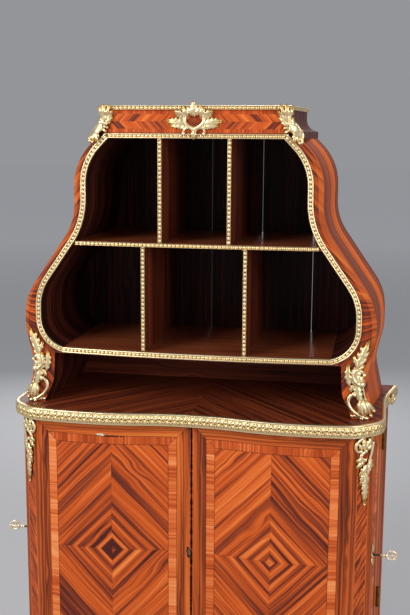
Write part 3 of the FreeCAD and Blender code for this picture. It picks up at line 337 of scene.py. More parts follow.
def quarter_field(tree, far_out, far_up, leaf, slope, middle_shade):
    """The colour of the four quarters, whose streaks fall away from the middle at this slope."""
    size = math.hypot(slope, 1)
    sloped = add(tree, "Math", (far_out, slope / size), operation="MULTIPLY")
    across = add(tree, "Math", (far_up, 1 / size, sloped), operation="MULTIPLY_ADD")
    levelled = add(tree, "Math", (far_out, 1 / size), operation="MULTIPLY")
    along = add(tree, "Math", (far_up, -slope / size, levelled), operation="MULTIPLY_ADD")
    heart = add(tree, "MapRange", {"Value": across, "From Min": HEART_FROM, "From Max": HEART_TO,
                                   "To Min": 1, "To Max": 0})
    turns = add(tree, "Math", (across, math.tau / RING_APART, math.tau * RING_START),
                operation="MULTIPLY_ADD")
    ring = add(tree, "Math", (turns,), operation="COSINE")
    fade = add(tree, "MapRange", {"Value": across, "From Min": RINGS_FROM, "From Max": RINGS_TO,
                                  "To Min": RING_SHADE, "To Max": 0})
    rings = add(tree, "Math", (ring, fade), operation="MULTIPLY")
    shade = add(tree, "Math", (heart, middle_shade, rings), operation="MULTIPLY_ADD")
    return leaf_colour(tree, (across, along, leaf), KINGWOOD, 0.34, shade)


print("rings round the heart:", RINGS_FROM // RING_APART)

# %% Band and frame
BAND_PIECE = 38


def band_and_frame(tree, run, outside, upright, leaf, edge_leaf):
    """The colours of the cross-grained band, in its short lengths, and of the two strips of the frame."""
    lengths = add(tree, "Math", (run, BAND_PIECE), operation="DIVIDE")
    piece = add(tree, "Math", (lengths,), operation="FLOOR")
    chance = add(tree, "TexWhiteNoise", {"Vector": add(tree, "CombineXYZ", (piece, upright, leaf))})
    lightness = add(tree, "MapRange", {"Value": upright, "To Min": -0.14, "To Max": -0.1})
    contrast = add(tree, "MapRange", {"Value": upright, "To Min": 0.08, "To Max": 0.22})
    shade = add(tree, "Math", (chance, contrast, lightness), operation="MULTIPLY_ADD")
    band_leaf = add(tree, "Math", (piece, 1.7, leaf), operation="MULTIPLY_ADD")
    band = leaf_colour(tree, (run, outside, band_leaf), TULIPWOOD, 0.4, shade)[0]
    strip = add(tree, "Math", (outside, BAND_WIDE + FRAME_STRIP), operation="GREATER_THAN")
    rail_shade = add(tree, "MapRange", {"Value": upright, "To Min": 0.05, "To Max": -0.02})
    strip_shade = add(tree, "Math", (strip, 0.05, rail_shade), operation="MULTIPLY_ADD")
    frame_leaf = add(tree, "Math", (strip, 2.6, edge_leaf), operation="MULTIPLY_ADD")
    return band, leaf_colour(tree, (outside, run, frame_leaf), STRAIGHT, 0.25, strip_shade)[0]


print("band pieces are", BAND_PIECE, "mm long")

# %% Quartered panels
MIDDLE_HIGH, HALF_TALL = 449, 283
JOINT_HALF = 0.8
GLUE_DARK = 0.62


def quartered_panel(name, half_wide, slope, find_middle, overlay):
    """Quarters in a band in a frame; find_middle places a point, the last draws worn marks and painted
    shadow, or oak.
    """
    material, tree, (x, y, z) = new_material(name)
    across, side_leaf, middle_shade = find_middle(tree, x, y)
    up = add(tree, "Math", (z, MIDDLE_HIGH), operation="SUBTRACT")
    far_out, far_up, outside, upright, mitre = panel_places(tree, across, up, half_wide, HALF_TALL)
    right = add(tree, "Math", (across,), operation="SIGN")
    upper = add(tree, "Math", (up,), operation="SIGN")
    quarter = add(tree, "Math", (upper, 2, right), operation="MULTIPLY_ADD")
    leaf = add(tree, "Math", (quarter, 0.42, side_leaf), operation="MULTIPLY_ADD")
    field, field_lines = quarter_field(tree, far_out, far_up, leaf, slope, middle_shade)
    run = add(tree, "Mix", (upright, across, up))
    edge_leaf = add(tree, "Math", (add(tree, "Mix", (upright, upper, right)), side_leaf), operation="ADD")
    band, border = band_and_frame(tree, run, outside, upright, leaf, edge_leaf)
    in_field = add(tree, "Math", (outside, 0), operation="LESS_THAN")
    in_band = add(tree, "Math", (outside, BAND_WIDE), operation="LESS_THAN")
    outer = add(tree, "Mix", {"Factor": in_band, "A": border, "B": band}, data_type="RGBA")
    wood = add(tree, "Mix", {"Factor": in_field, "A": outer, "B": field}, data_type="RGBA")
    to_quarter = add(tree, "Math", (far_out, far_up), operation="MINIMUM")
    fainter = add(tree, "Math", (to_quarter, JOINT_HALF), operation="ADD")
    seam = add(tree, "Mix", (in_field, mitre, fainter))
    for joint in (0, BAND_WIDE, BAND_WIDE + FRAME_STRIP):
        beside = add(tree, "Math", (outside, joint), operation="SUBTRACT")
        gap = add(tree, "Math", (beside,), operation="ABSOLUTE")
        seam = add(tree, "Math", (seam, gap), operation="MINIMUM")
    glue = add(tree, "MapRange", {"Value": seam, "From Min": 0.2, "From Max": 2 * JOINT_HALF,
                                  "To Min": GLUE_DARK, "To Max": 0})
    jointed = add(tree, "Mix", {"Factor": glue, "A": wood, "B": linear("#2A100A")}, data_type="RGBA")
    return french_polish(material, tree, overlay(tree, x, y, z, jointed), field_lines)


print("a field is", 2 * HALF_TALL, "mm tall")

# %% Middles of the panels
PANEL_MIDDLE, DOOR_MIDDLE = 205, 9.5
LEFT_HEART, RIGHT_HEART, DOOR_HEART = -0.2, 0.03, -0.1


def front_middle(tree, x, y):
    """Place across a front panel, its leaf and its heart; the left one has a dark heart."""
    side = add(tree, "Math", (x,), operation="SIGN")
    far = add(tree, "Math", (x,), operation="ABSOLUTE")
    outward = add(tree, "Math", (far, PANEL_MIDDLE), operation="SUBTRACT")
    across = add(tree, "Math", (outward, side), operation="MULTIPLY")
    heart = add(tree, "MapRange", {"Value": side, "From Min": -1, "To Min": LEFT_HEART,
                                   "To Max": RIGHT_HEART})
    return across, add(tree, "Math", (side, 5.3), operation="MULTIPLY"), heart


def door_middle(tree, x, y):
    """Place across a side door, whose middle is near the cupboard's half depth, its leaf and its heart."""
    side = add(tree, "Math", (x,), operation="SIGN")
    across = add(tree, "Math", (y, DOOR_MIDDLE), operation="SUBTRACT")
    return across, add(tree, "Math", (side, 9.1), operation="MULTIPLY"), DOOR_HEART


print("front panels are", 2 * PANEL_MIDDLE, "mm apart, middle to middle")

# %% [markdown]
# The two front panels have shrunk apart on the middle line, and the edges of the veneer there are ragged. A
# bit has broken away beside the crack at mid height, and a sliver of the left panel's upper band has lifted
# and shows the pale ground, with a dark line of painted shadow beside it where the lifted edge would cast
# one. These marks could be cut into the solids, but they are only as deep as the veneer, so they are drawn by
# distance from their own middles. The doors are veneered outside only: the face that looks into the
# cupboard is their bare oak.

# %% Wear and a painted shadow on the front panels
RAGGED_MM, TORN_MM = 16, 7
CRACK_SWING, CRACK_SHUT = 8, -1.4
# The first two marks are the chip and its ground, the third is a painted shadow beside the lifted sliver, and
# the last is the pale ground it shows.
MARKS_AND_SHADOW = ((-6, 447, 6.5, 17, "#1B0C08"), (-5.5, 448, 4, 11, "#6B513A"),
         (-212, 753, 42, 2.2, "#2A110A"), (-232, 756, 12, 3.4, "#D2C2A2"))


def front_wear_and_shadow(tree, x, y, z, wood):
    """A ragged crack on the middle line, a chip beside it, a lifted sliver and its painted shadow."""
    height = add(tree, "CombineXYZ", (0, 0, z))
    ragged = add(tree, "TexNoise", {"Vector": height, "Scale": 1 / RAGGED_MM, "Detail": 4})
    crack_half = add(tree, "Math", (ragged, CRACK_SWING, CRACK_SHUT), operation="MULTIPLY_ADD")
    far = add(tree, "Math", (x,), operation="ABSOLUTE")
    crack = add(tree, "Math", (far, crack_half), operation="LESS_THAN")
    worn = add(tree, "Mix", {"Factor": crack, "A": wood, "B": linear("#120705")}, data_type="RGBA")
    place = add(tree, "CombineXYZ", (x, 0, z))
    torn = add(tree, "TexNoise", {"Vector": place, "Scale": 1 / TORN_MM, "Detail": 3})
    for middle_x, middle_z, half_wide, half_tall, colour in MARKS_AND_SHADOW:
        out = add(tree, "MapRange", {"Value": x, "From Min": middle_x, "From Max": middle_x + half_wide},
                  clamp=False)
        up = add(tree, "MapRange", {"Value": z, "From Min": middle_z, "From Max": middle_z + half_tall},
                 clamp=False)
        far_from = add(tree, "VectorMath", (add(tree, "CombineXYZ", (out, up, 0)),), operation="LENGTH")
        jagged = add(tree, "Math", (torn, 2, far_from.outputs["Value"]), operation="MULTIPLY_ADD")
        inside = add(tree, "Math", (jagged, 1.9), operation="LESS_THAN")
        worn = add(tree, "Mix", {"Factor": inside, "A": worn, "B": linear(colour)}, data_type="RGBA")
    return worn


dress(quartered_panel("kingwood_quartered_front", 145, 1.05, front_middle, front_wear_and_shadow), "front_panel")

# %% Oak inside the doors
DOOR_INNER = 436


def door_lining(tree, x, y, z, wood):
    """Bare oak on the face that looks into the cupboard."""
    far = add(tree, "Math", (x,), operation="ABSOLUTE")
    inside = add(tree, "Math", (far, DOOR_INNER + 0.5), operation="LESS_THAN")
    oak_colour = leaf_colour(tree, (y, z, 6), OAK, 0.5)[0]
    return add(tree, "Mix", {"Factor": inside, "A": wood, "B": oak_colour}, data_type="RGBA")


dress(quartered_panel("kingwood_quartered_door", 84, 0.88, door_middle, door_lining), "door")

# %% [markdown]
# The base's top is darker: its leaves meet in a chevron on the middle line, and handling and wax have made
# them nearly black. Wax leaves it a little glossier than the rest. The top of the crest is cut from the
# same leaves and never waxed, so it is dull. A chevron only needs the distance from the middle line,
# slanted by the depth.

# %% Tops of the base and the crest
CHEVRON_SLOPE, CHEVRON_BACK = 0.9, -1.1
CHEVRON_FINE = 1.7
for node, roughness, coat in (("base_top", 0.48, 0.12), ("crest_top", 0.62, 0)):
    top, tree, (x, y, z) = new_material("kingwood_chevron_" + node)
    half = add(tree, "Math", (x,), operation="ABSOLUTE")
    slant = add(tree, "Math", (y, CHEVRON_SLOPE, half), operation="MULTIPLY_ADD")
    across = add(tree, "Math", (slant, CHEVRON_FINE), operation="MULTIPLY")
    along = add(tree, "Math", (y, CHEVRON_BACK, half), operation="MULTIPLY_ADD")
    side = add(tree, "Math", (x,), operation="SIGN")
    colour, fine_lines = leaf_colour(tree, (across, along, side), DARK_TOP, 0.3, 0.05)
    dress(french_polish(top, tree, colour, fine_lines, roughness, coat), node)

# %% [markdown]
# The frieze of the crest is a herringbone of narrow strips, mirrored about the middle and about its own mid
# height, between two plain bands. No two strips come from the same place in the log, so each takes a tone
# of its own from white noise, which gives one chance value to each strip.

# %% Frieze of the crest
FRIEZE_MIDDLE, FRIEZE_HALF = 1537.5, 17.5
STRIP_WIDE = 21
TONE_SPAN, TONE_LOW = 0.13, -0.06
frieze, tree, (x, y, z) = new_material("kingwood_herringbone_frieze")
half = add(tree, "Math", (x,), operation="ABSOLUTE")
height = add(tree, "Math", (z, FRIEZE_MIDDLE), operation="SUBTRACT")
from_middle = add(tree, "Math", (height,), operation="ABSOLUTE")
across = add(tree, "Math", (half, from_middle), operation="ADD")
along = add(tree, "Math", (half, from_middle), operation="SUBTRACT")
strips_out = add(tree, "Math", (across, STRIP_WIDE), operation="DIVIDE")
strip = add(tree, "Math", (strips_out,), operation="FLOOR")
upper = add(tree, "Math", (height,), operation="SIGN")
strip_leaf = add(tree, "Math", (strip, 1.37, upper), operation="MULTIPLY_ADD")
chance = add(tree, "TexWhiteNoise", {"W": strip_leaf}, noise_dimensions="1D").outputs["Value"]
strip_shade = add(tree, "Math", (chance, TONE_SPAN, TONE_LOW), operation="MULTIPLY_ADD")
strip_across = add(tree, "Math", (across, 0.7), operation="MULTIPLY")
colour, fine_lines = leaf_colour(tree, (strip_across, along, strip_leaf), KINGWOOD, 0.25, strip_shade)
band = leaf_colour(tree, (x, z, 3), TULIPWOOD, 0.5, -0.13)[0]
in_band = add(tree, "Math", (from_middle, FRIEZE_HALF), operation="GREATER_THAN")
banded = add(tree, "Mix", {"Factor": in_band, "A": colour, "B": band}, data_type="RGBA")
dress(french_polish(frieze, tree, banded, fine_lines), "crest_frieze")

# %% [markdown]
# The corner posts have a panel of flame figure in the middle: short dark strokes that climb aslant, close
# together. Straight strips with a light line run at both edges. The place across a canted post is measured
# along its face, which is turned 40.8 degrees. The aprons under the base and its rear posts are plain
# straight wood.

# %% Corner posts
CANT = math.radians(40.8)
POST_OUT, POST_FRONT = 429.5, -156
FLAME_HALF, STRINGING_AT, STRINGING_HALF = 17, 18.5, 1.6
STROKE_CLIMB, STROKE_CLOSE, STROKE_SHORT = -1.3, 2.3, 22
post, tree, (x, y, z) = new_material("kingwood_flame_post")
half = add(tree, "Math", (x,), operation="ABSOLUTE")
out = add(tree, "Math", (half, POST_OUT), operation="SUBTRACT")
back = add(tree, "Math", (y, POST_FRONT), operation="SUBTRACT")
sideways = add(tree, "Math", (out, math.cos(CANT)), operation="MULTIPLY")
face_place = add(tree, "Math", (back, math.sin(CANT), sideways), operation="MULTIPLY_ADD")
from_middle = add(tree, "Math", (face_place,), operation="ABSOLUTE")
climb = add(tree, "Math", (face_place, STROKE_CLIMB, z), operation="MULTIPLY_ADD")
stroke = add(tree, "Math", (climb, STROKE_CLOSE), operation="MULTIPLY")
stroke_long = add(tree, "Math", (face_place, STROKE_SHORT), operation="MULTIPLY")
side = add(tree, "Math", (x,), operation="SIGN")
flame, flame_lines = leaf_colour(tree, (stroke, stroke_long, side), KINGWOOD, 0.2, -0.015)
strip_across = add(tree, "Math", (face_place, 2.2), operation="MULTIPLY")
strips = leaf_colour(tree, (strip_across, z, 4), STRAIGHT, 0.3)[0]
in_strip = add(tree, "Math", (from_middle, FLAME_HALF), operation="GREATER_THAN")
wood = add(tree, "Mix", {"Factor": in_strip, "A": flame, "B": strips}, data_type="RGBA")
from_line = add(tree, "Math", (from_middle, STRINGING_AT), operation="SUBTRACT")
line_place = add(tree, "Math", (from_line,), operation="ABSOLUTE")
stringing = add(tree, "Math", (line_place, STRINGING_HALF), operation="LESS_THAN")
strung = add(tree, "Mix", {"Factor": stringing, "A": wood, "B": linear("#C2602A")}, data_type="RGBA")
dress(french_polish(post, tree, strung, flame_lines), "front_post")

# %% Aprons and rear posts
apron, tree, (x, y, z) = new_material("kingwood_straight_apron")
along = add(tree, "Math", (x, y), operation="ADD")
colour, fine_lines = leaf_colour(tree, (z, along, 2), STRAIGHT, 0.3)
dress(french_polish(apron, tree, colour, fine_lines), "front_apron", "side_apron")

rear, tree, (x, y, z) = new_material("kingwood_rear_post")
around = add(tree, "Math", (x, y), operation="ADD")
colour, fine_lines = leaf_colour(tree, (around, z, 6), STRAIGHT, 0.3)
dress(french_polish(rear, tree, colour, fine_lines), "rear_post")

# %% [markdown]
# The sides of the case are bent veneer. Strips of wood follow the curve from top to bottom, each at its own
# depth, and the same ramp paints the light and shade of the stepped mouldings: orange at the front, with a
# painted highlight on its rounded arris, thin dark lines of painted shade at the steps, violet-brown in the
# hollow channel, partly the wood and partly a painted reflection of the grey studio, orange again, and dark
# on the rear stile, as painted shade where it turns away from the light. So the strips are a ramp along Y,
# with the figure over it. On the legs below them the veneer is plainer, with the same painted shade at the
# rear.
# The canted front edge is laid in two tones, light outside and dark beside the gilt strip, with strokes that
# turn from one slant above to the other on the legs. Faces that look inwards, in the case and on the legs
# under it, are stained and darkened further as painted shade, and their rear edges are bare oak. Five
# materials could be given to as many sets of faces, but a solid's mesh is left alone, so the nodes tell the
# faces apart by the way they look: outwards, to the front, inwards or to the back.

# %% Strips, painted highlight and painted shade of the violin sides
CASE_FRONT, CASE_BACK = -116, 213
LEG_TOP, LEG_SEAM = 915, 3
SWAY_LONG, SWAY_MM = 90, 12
# The first ramp is orange wood with a painted highlight at 0.12, painted shade in its thin dark lines and on
# the rear stile, and a painted reflection in the violet channel; the second, for the legs, ends in the same
# painted shade.
BENT_STRIPS_AND_PAINTED_LIGHT = ((0.00, "#C25A22"), (0.12, "#CF6728"), (0.14, "#4A1E13"), (0.16, "#C25618"), (0.30, "#BC4C14"),
               (0.33, "#3F1E18"), (0.36, "#75402F"), (0.47, "#8A4D3B"), (0.49, "#4A2018"), (0.51, "#D2601C"),
               (0.67, "#DE6A1C"), (0.69, "#6A2A15"), (0.73, "#8A3A18"), (0.78, "#4E241B"), (0.99, "#3C1D18"))
LEG_STRIPS_AND_PAINTED_SHADE = ((0.00, "#C25A22"), (0.30, "#B9511C"), (0.52, "#C45820"), (0.64, "#B04A1C"), (0.68, "#8A4A38"),
              (0.72, "#4E241B"), (0.99, "#3C1D18"))
sides, tree, (x, y, z) = new_material("kingwood_violin_side_with_painted_light")
side = add(tree, "Math", (x,), operation="SIGN")
bent_across = add(tree, "Math", (y, 0.8), operation="MULTIPLY")
bent, bent_lines = leaf_colour(tree, (bent_across, z, side), KINGWOOD)
height = add(tree, "CombineXYZ", (0, 0, z))
sway = add(tree, "TexNoise", {"Vector": height, "Scale": 1 / SWAY_LONG, "Detail": 1})
swayed = add(tree, "Math", (sway, SWAY_MM, y), operation="MULTIPLY_ADD")
depth = add(tree, "MapRange", {"Value": swayed, "From Min": CASE_FRONT + SWAY_MM / 2,
                               "From Max": CASE_BACK + SWAY_MM / 2})
# These strips carry the painted highlight, shade and reflection of the mouldings.
strips = add(tree, "ValToRGB", (depth,), BENT_STRIPS_AND_PAINTED_LIGHT)
leg_strips_and_shade = add(tree, "ValToRGB", (depth,), LEG_STRIPS_AND_PAINTED_SHADE)
above = add(tree, "MapRange", {"Value": z, "From Min": LEG_TOP - LEG_SEAM, "From Max": LEG_TOP})
flanks = add(tree, "Mix", {"Factor": above, "A": leg_strips_and_shade, "B": strips}, data_type="RGBA")
figured = add(tree, "Mix", {"Factor": 0.3, "A": flanks, "B": bent}, data_type="RGBA")
print("colours across the bent strips:", len(BENT_STRIPS_AND_PAINTED_LIGHT))

# %% Front edges of the violin sides
EDGE_MIDDLE, EDGE_SEAM = 350, -126
FALL_FROM, FALL_TO = 1010, 1150
FALL_LEG, FALL_TOP = -1.2, 1
far = add(tree, "Math", (x, side, -EDGE_MIDDLE), operation="MULTIPLY_ADD")
fall = add(tree, "MapRange", {"Value": z, "From Min": FALL_FROM, "From Max": FALL_TO,
                              "To Min": FALL_LEG, "To Max": FALL_TOP})
run = add(tree, "Math", (far, fall, z), operation="MULTIPLY_ADD")
edge_across = add(tree, "Math", (run, 0.7), operation="MULTIPLY")
light_edge = leaf_colour(tree, (edge_across, y, side), STRAIGHT, 0.25, 0.05)[0]
dark_edge = leaf_colour(tree, (edge_across, y, side), KINGWOOD, 0.4, -0.06)[0]
near_strip = add(tree, "Math", (y, EDGE_SEAM), operation="LESS_THAN")
edge = add(tree, "Mix", {"Factor": near_strip, "A": light_edge, "B": dark_edge}, data_type="RGBA")
print("strokes on the front edge turn over", FALL_TO - FALL_FROM, "mm")

# %% Faces of the violin sides
FRONT_LOOK, INWARD_LOOK, BACK_LOOK = -0.45, -0.05, 0.9
looks = add(tree, "SeparateXYZ", (add(tree, "NewGeometry").outputs["True Normal"],)).outputs
outward = add(tree, "Math", (looks["X"], side), operation="MULTIPLY")
to_front = add(tree, "Math", (looks["Y"], FRONT_LOOK), operation="LESS_THAN")
not_front = add(tree, "Math", (1, to_front), operation="SUBTRACT")
inward = add(tree, "Math", (outward, INWARD_LOOK), operation="LESS_THAN")
indoors = add(tree, "Math", (inward, not_front), operation="MULTIPLY")
to_back = add(tree, "Math", (looks["Y"], BACK_LOOK), operation="GREATER_THAN")
# Inward faces, in the case and on the legs under it, take the stain darkened further as painted shade.
stain_and_shade = leaf_colour(tree, (y, z, side), STAINED, 0.3, -0.1)[0]
carcase = leaf_colour(tree, (x, z, side), OAK, 0.5)[0]
outer = add(tree, "Mix", {"Factor": to_front, "A": figured, "B": edge}, data_type="RGBA")
wood = add(tree, "Mix", {"Factor": indoors, "A": outer, "B": stain_and_shade}, data_type="RGBA")
backed = add(tree, "Mix", {"Factor": to_back, "A": wood, "B": carcase}, data_type="RGBA")
dress(french_polish(sides, tree, backed, bent_lines), "upper_side")

# %% [markdown]
# The crest's two ends are hollow mouldings in a purple wood that hardly shows its lines. Their grain goes
# round with the moulding, so X and Y together measure across it.

# %% Ends of the crest
ends, tree, (x, y, z) = new_material("kingwood_crest_end")
around = add(tree, "Math", (x, y), operation="ADD")
colour, fine_lines = leaf_colour(tree, (around, z, 8), PURPLE, 0.3)
dress(french_polish(ends, tree, colour, fine_lines), "crest_end")

# %% [markdown]
# Inside the case all boards are stained a deep red-brown and polished. The level boards are lighter than the
# dividers: their stain is lifted as a painted sheen for the light they reflect. The back boards are plain oak
# behind, and on the face that looks into the case they are stained and darkened nearly to black with painted
# shade. The rail under them is stained in front too, with its grain level, and kept dark as painted shade
# under the case. The carcase inside the cupboard is plain oak.

# %% Stained boards, with a painted sheen on the level ones, and oak
stained, tree, (x, y, z) = new_material("stained_boards_with_painted_sheen")
along = add(tree, "Math", (x, z), operation="ADD")
# The level boards' stain is lifted to a lighter tone than the dividers' as a painted sheen for the light they
# reflect.
colour, fine_lines = leaf_colour(tree, (y, along, 2), STAINED, 0.3, 0.2)
dress(french_polish(stained, tree, colour, fine_lines, 0.36, 0.4), "case_bottom", "case_shelf",
      "case_ceiling")

upright, tree, (x, y, z) = new_material("stained_dividers")
colour, fine_lines = leaf_colour(tree, (y, z, 5), STAINED, 0.3, 0.03)
dress(french_polish(upright, tree, colour, fine_lines, 0.4, 0.3), "upper_divider", "lower_divider")

oak, tree, (x, y, z) = new_material("plain_oak")
colour, fine_lines = leaf_colour(tree, (x, z, y), OAK, 0.5)
dress(french_polish(oak, tree, colour, fine_lines, 0.6, 0.05), "base_back", "base_bottom", "base_partition",
      "base_shelf", "shelf_cleats")

# %% Back boards and rail, darkened with painted shade in front
BOARD_SEAM, BOARD_WIDE = -15, 141
BOARD_FACE, RAIL_FACE = 200.5, 212.5
backs, tree, (x, y, z) = new_material("back_boards")
from_seam = add(tree, "Math", (x, BOARD_SEAM), operation="SUBTRACT")
boards_out = add(tree, "Math", (from_seam, BOARD_WIDE), operation="DIVIDE")
board = add(tree, "Math", (boards_out,), operation="FLOOR")
board_leaf = add(tree, "Math", (board, 2.3), operation="MULTIPLY")
plain, fine_lines = leaf_colour(tree, (x, z, board_leaf), OAK, 0.5)
# The face into the case is stained and darkened nearly to black as painted shade.
stain_and_shade = leaf_colour(tree, (x, z, board_leaf), STAINED, 0.4, -0.12)[0]
inside = add(tree, "Math", (y, BOARD_FACE), operation="LESS_THAN")
colour = add(tree, "Mix", {"Factor": inside, "A": plain, "B": stain_and_shade}, data_type="RGBA")
dress(french_polish(backs, tree, colour, fine_lines, 0.6, 0.1), "back_planks")

rail, tree, (x, y, z) = new_material("back_rail")
plain, fine_lines = leaf_colour(tree, (z, x, 7), OAK, 0.5)
# The rail's front is stained and kept dark as painted shade under the case.
stain_and_shade = leaf_colour(tree, (z, x, 7), STAINED, 0.3, 0.06)[0]
inside = add(tree, "Math", (y, RAIL_FACE), operation="LESS_THAN")
colour = add(tree, "Mix", {"Factor": inside, "A": plain, "B": stain_and_shade}, data_type="RGBA")
dress(french_polish(rail, tree, colour, fine_lines, 0.5, 0.1), "case_rail")

# %% [markdown]
# Gilt bronze was cast in sand, chased with punches and gilded with mercury, then burnished on the high
# places, so the eye sees pale gold on every edge and brown shade in every hollow. Nodes can guess the
# hollows from the shape, but the export wouldn't keep that. So the mounts carry an attribute named relief,
# from 0 in the hollows to 1 on the tops, and the material turns it from old brown to pale gold, a little
# clouded as worn gilding is.

# %% Gilt bronze
CLOUD_MM = 9
GOLD = ((0.02, "#6E4A1E"), (0.3, "#BC9250"), (0.58, "#EACB8C"), (0.88, "#FBE8BC"))
gilt, tree = new_material("gilt_bronze_chased")[:2]
relief = add(tree, "Attribute", attribute_name="relief").outputs["Fac"]
place = add(tree, "TexCoord").outputs["Object"]
cloud = add(tree, "TexNoise", {"Vector": place, "Scale": 1000 / CLOUD_MM, "Detail": 3})
rubbed = add(tree, "Math", (cloud, 0.35, -0.17), operation="MULTIPLY_ADD")
worn = add(tree, "Math", (relief, rubbed), operation="ADD")
gold = add(tree, "ValToRGB", (worn,), GOLD)
dull = add(tree, "MapRange", {"Value": worn, "To Min": 0.6, "To Max": 0.38})
shader = add(tree, "BsdfPrincipled", {"Base Color": gold, "Metallic": 1, "Roughness": dull})
add(tree, "OutputMaterial", (shader,))
print("gilt material:", len(tree.nodes), "nodes")

# %% [markdown]
# Every gilt border is a section drawn along a line. The line is written as corners with their rounding, as
# a draughtsman would set it out, and walked in even steps. A bevelled curve could carry a plain section,
# but not the chasing. So a grid is laid along the line: its columns take the places on the line and its
# rows the points of a closed section, and a relief is added for the chasing. The seam is merged and the two
# ends are filled.

# %% Lines with rounded corners
ROUND_STEPS = 12


def rounded_line(corners, step):
    """Even places along a line of corners (x, y, radius), each with its direction and its distance along."""
    points = [Vector(corner[:2]) for corner in corners]
    walk = [points[0]]
    for before, corner, after, notes in zip(points, points[1:], points[2:], corners[1:]):
        to_before = (before - corner).normalized()
        to_after = (after - corner).normalized()
        half_turn = (math.pi - to_before.angle(to_after)) / 2
        radius = notes[2]
        reach = radius * math.tan(half_turn)
        centre = corner + (to_before + to_after).normalized() * radius / math.cos(half_turn)
        first = corner + to_before * reach - centre
        last = corner + to_after * reach - centre
        walk += [centre + first.slerp(last, turn / ROUND_STEPS) * radius for turn in range(ROUND_STEPS + 1)]
    walk.append(points[-1])
    lengths = [0]
    for before, after in zip(walk, walk[1:]):
        lengths.append(lengths[-1] + (after - before).length)
    count = round(lengths[-1] / step)
    places, piece = [], 0
    for turn in range(count + 1):
        at = lengths[-1] * turn / count
        while piece < len(walk) - 2 and lengths[piece + 1] < at:
            piece += 1
        along = walk[piece + 1] - walk[piece]
        share = (at - lengths[piece]) / max(along.length, 1e-9)
        places.append((walk[piece] + along * share, at))
    directions = []
    for turn in range(count + 1):
        ahead = places[min(turn + 1, count)][0] - places[max(turn - 1, 0)][0]
        directions.append(ahead.normalized())
    return [(place, way, at) for (place, at), way in zip(places, directions)]


quarter = rounded_line([(0, 0), (100, 0, 100), (100, 100)], 5)
print("a quarter circle of 100 mm is", round(quarter[-1][2], 1), "mm long")

# %% Borders along a line
def new_relief():
    """An empty bmesh whose vertices carry the relief."""
    bm = bmesh.new()
    bm.verts.layers.float.new("relief")
    return bm


def border(bm, line, section, chase, set_place, slants=(0, 0)):
    """Adds one border: section is a closed row of (across, out), chase gives its relief and extra height, and
    slants say how far its two ends run on for each millimetre across, so that borders meet in a mitre."""
    layer = bm.verts.layers.float["relief"]
    grid = bmesh.ops.create_grid(bm, x_segments=len(line) - 1, y_segments=len(section), size=1)["verts"]
    for vertex in grid:
        column = round((vertex.co.x + 1) / 2 * (len(line) - 1))
        row = round((vertex.co.y + 1) / 2 * len(section)) % len(section)
        place, way, at = line[column]
        across, out = section[row]
        vertex[layer], rise = chase(at, across, out)
        slant = {0: slants[0], len(line) - 1: slants[1]}.get(column, 0)
        vertex.co = set_place(place + way * slant * across, way, across, out + rise)
    bmesh.ops.remove_doubles(bm, verts=grid, dist=1e-6)
    bmesh.ops.holes_fill(bm, edges=[edge for edge in bm.edges if edge.is_boundary])


def in_plan(low):
    """Sets a border round a board: across runs up from this height, and out is to the right of the walk."""
    def set_place(place, way, across, out):
        return Vector((place.x + way.y * out, place.y - way.x * out, low + across)) / 1000
    return set_place


print("a point 10 mm in front of the middle:", in_plan(0)(Vector((0, 0)), Vector((1, 0)), 0, 10))

# %% Finished mounts
def smooth_mesh(bm, name):
    """Turns a bmesh in metres into an object with smooth faces and outward normals."""
    bmesh.ops.recalc_face_normals(bm, faces=bm.faces)
    mesh = bpy.data.meshes.new(name)
    bm.to_mesh(mesh)
    bm.free()
    for face in mesh.polygons:
        face.use_smooth = True
    item = bpy.data.objects.new(name, mesh)
    scene.collection.objects.link(item)
    print(name, "has", len(mesh.polygons), "faces")
    return item


def gild(item, body, *stands_for):
    """Gilds a finished mount, lets it ride on its body and hides the solids it takes the place of, if any."""
    item.data.materials.append(gilt)
    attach(item, body)
    if stands_for:
        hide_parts(*stands_for)


print("mounts will be made of", gilt.name)

# %% [markdown]
# The rim of the base's top is the widest border: a plain fillet along the top, and under it a swelling band
# that is chased all over. A stem waves along it, a rosette fills each bend, and leaf tips stand along both
# edges. The hollows between them are deep, so the band sparkles when it is seen from afar. A bump in the
# material would look much the same from the front, but not along the edge, so the chasing is in the mesh.

# %% Line and section of the base's rim
RIM_TOP, RIM_TALL = 820, 32
BAND_LOW, BAND_HIGH, BAND_ROWS = 3, 27, 18
RIM_LINE = [(70, -179, 586), (190, -201, 614), (300, -201, 714), (409.2, -192, 60), (469, -140.4, 60),
            (469, 70, 386), (501, 213)]
left_half = [(-corner[0], *corner[1:]) for corner in reversed(RIM_LINE)]
rim_line = rounded_line(left_half + RIM_LINE, 1.5)
rim_section = [(32, 0.3), (32, 8), (31, 10), (29, 10), (28, 8)]
for row in range(BAND_ROWS + 1):
    swell = math.sin(math.pi * (0.12 + 0.8 * row / BAND_ROWS))
    rim_section.append((BAND_HIGH - (BAND_HIGH - BAND_LOW) * row / BAND_ROWS, 8 + 3.8 * swell))
rim_section += [(2.5, 7.5), (0.5, 7.5), (0, 6), (0, 0.3)]
print("base rim:", round(rim_line[-1][2]), "mm long,", len(rim_section), "points in its section")

# %% Chasing of the base's rim
RIM_WAVE = 19
STEM_SWING, STEM_HALF = 6.5, 2.8
ROSETTES = ((0.25, -5.5), (0.75, 5.5))
CHASE_DEEP = 3.4


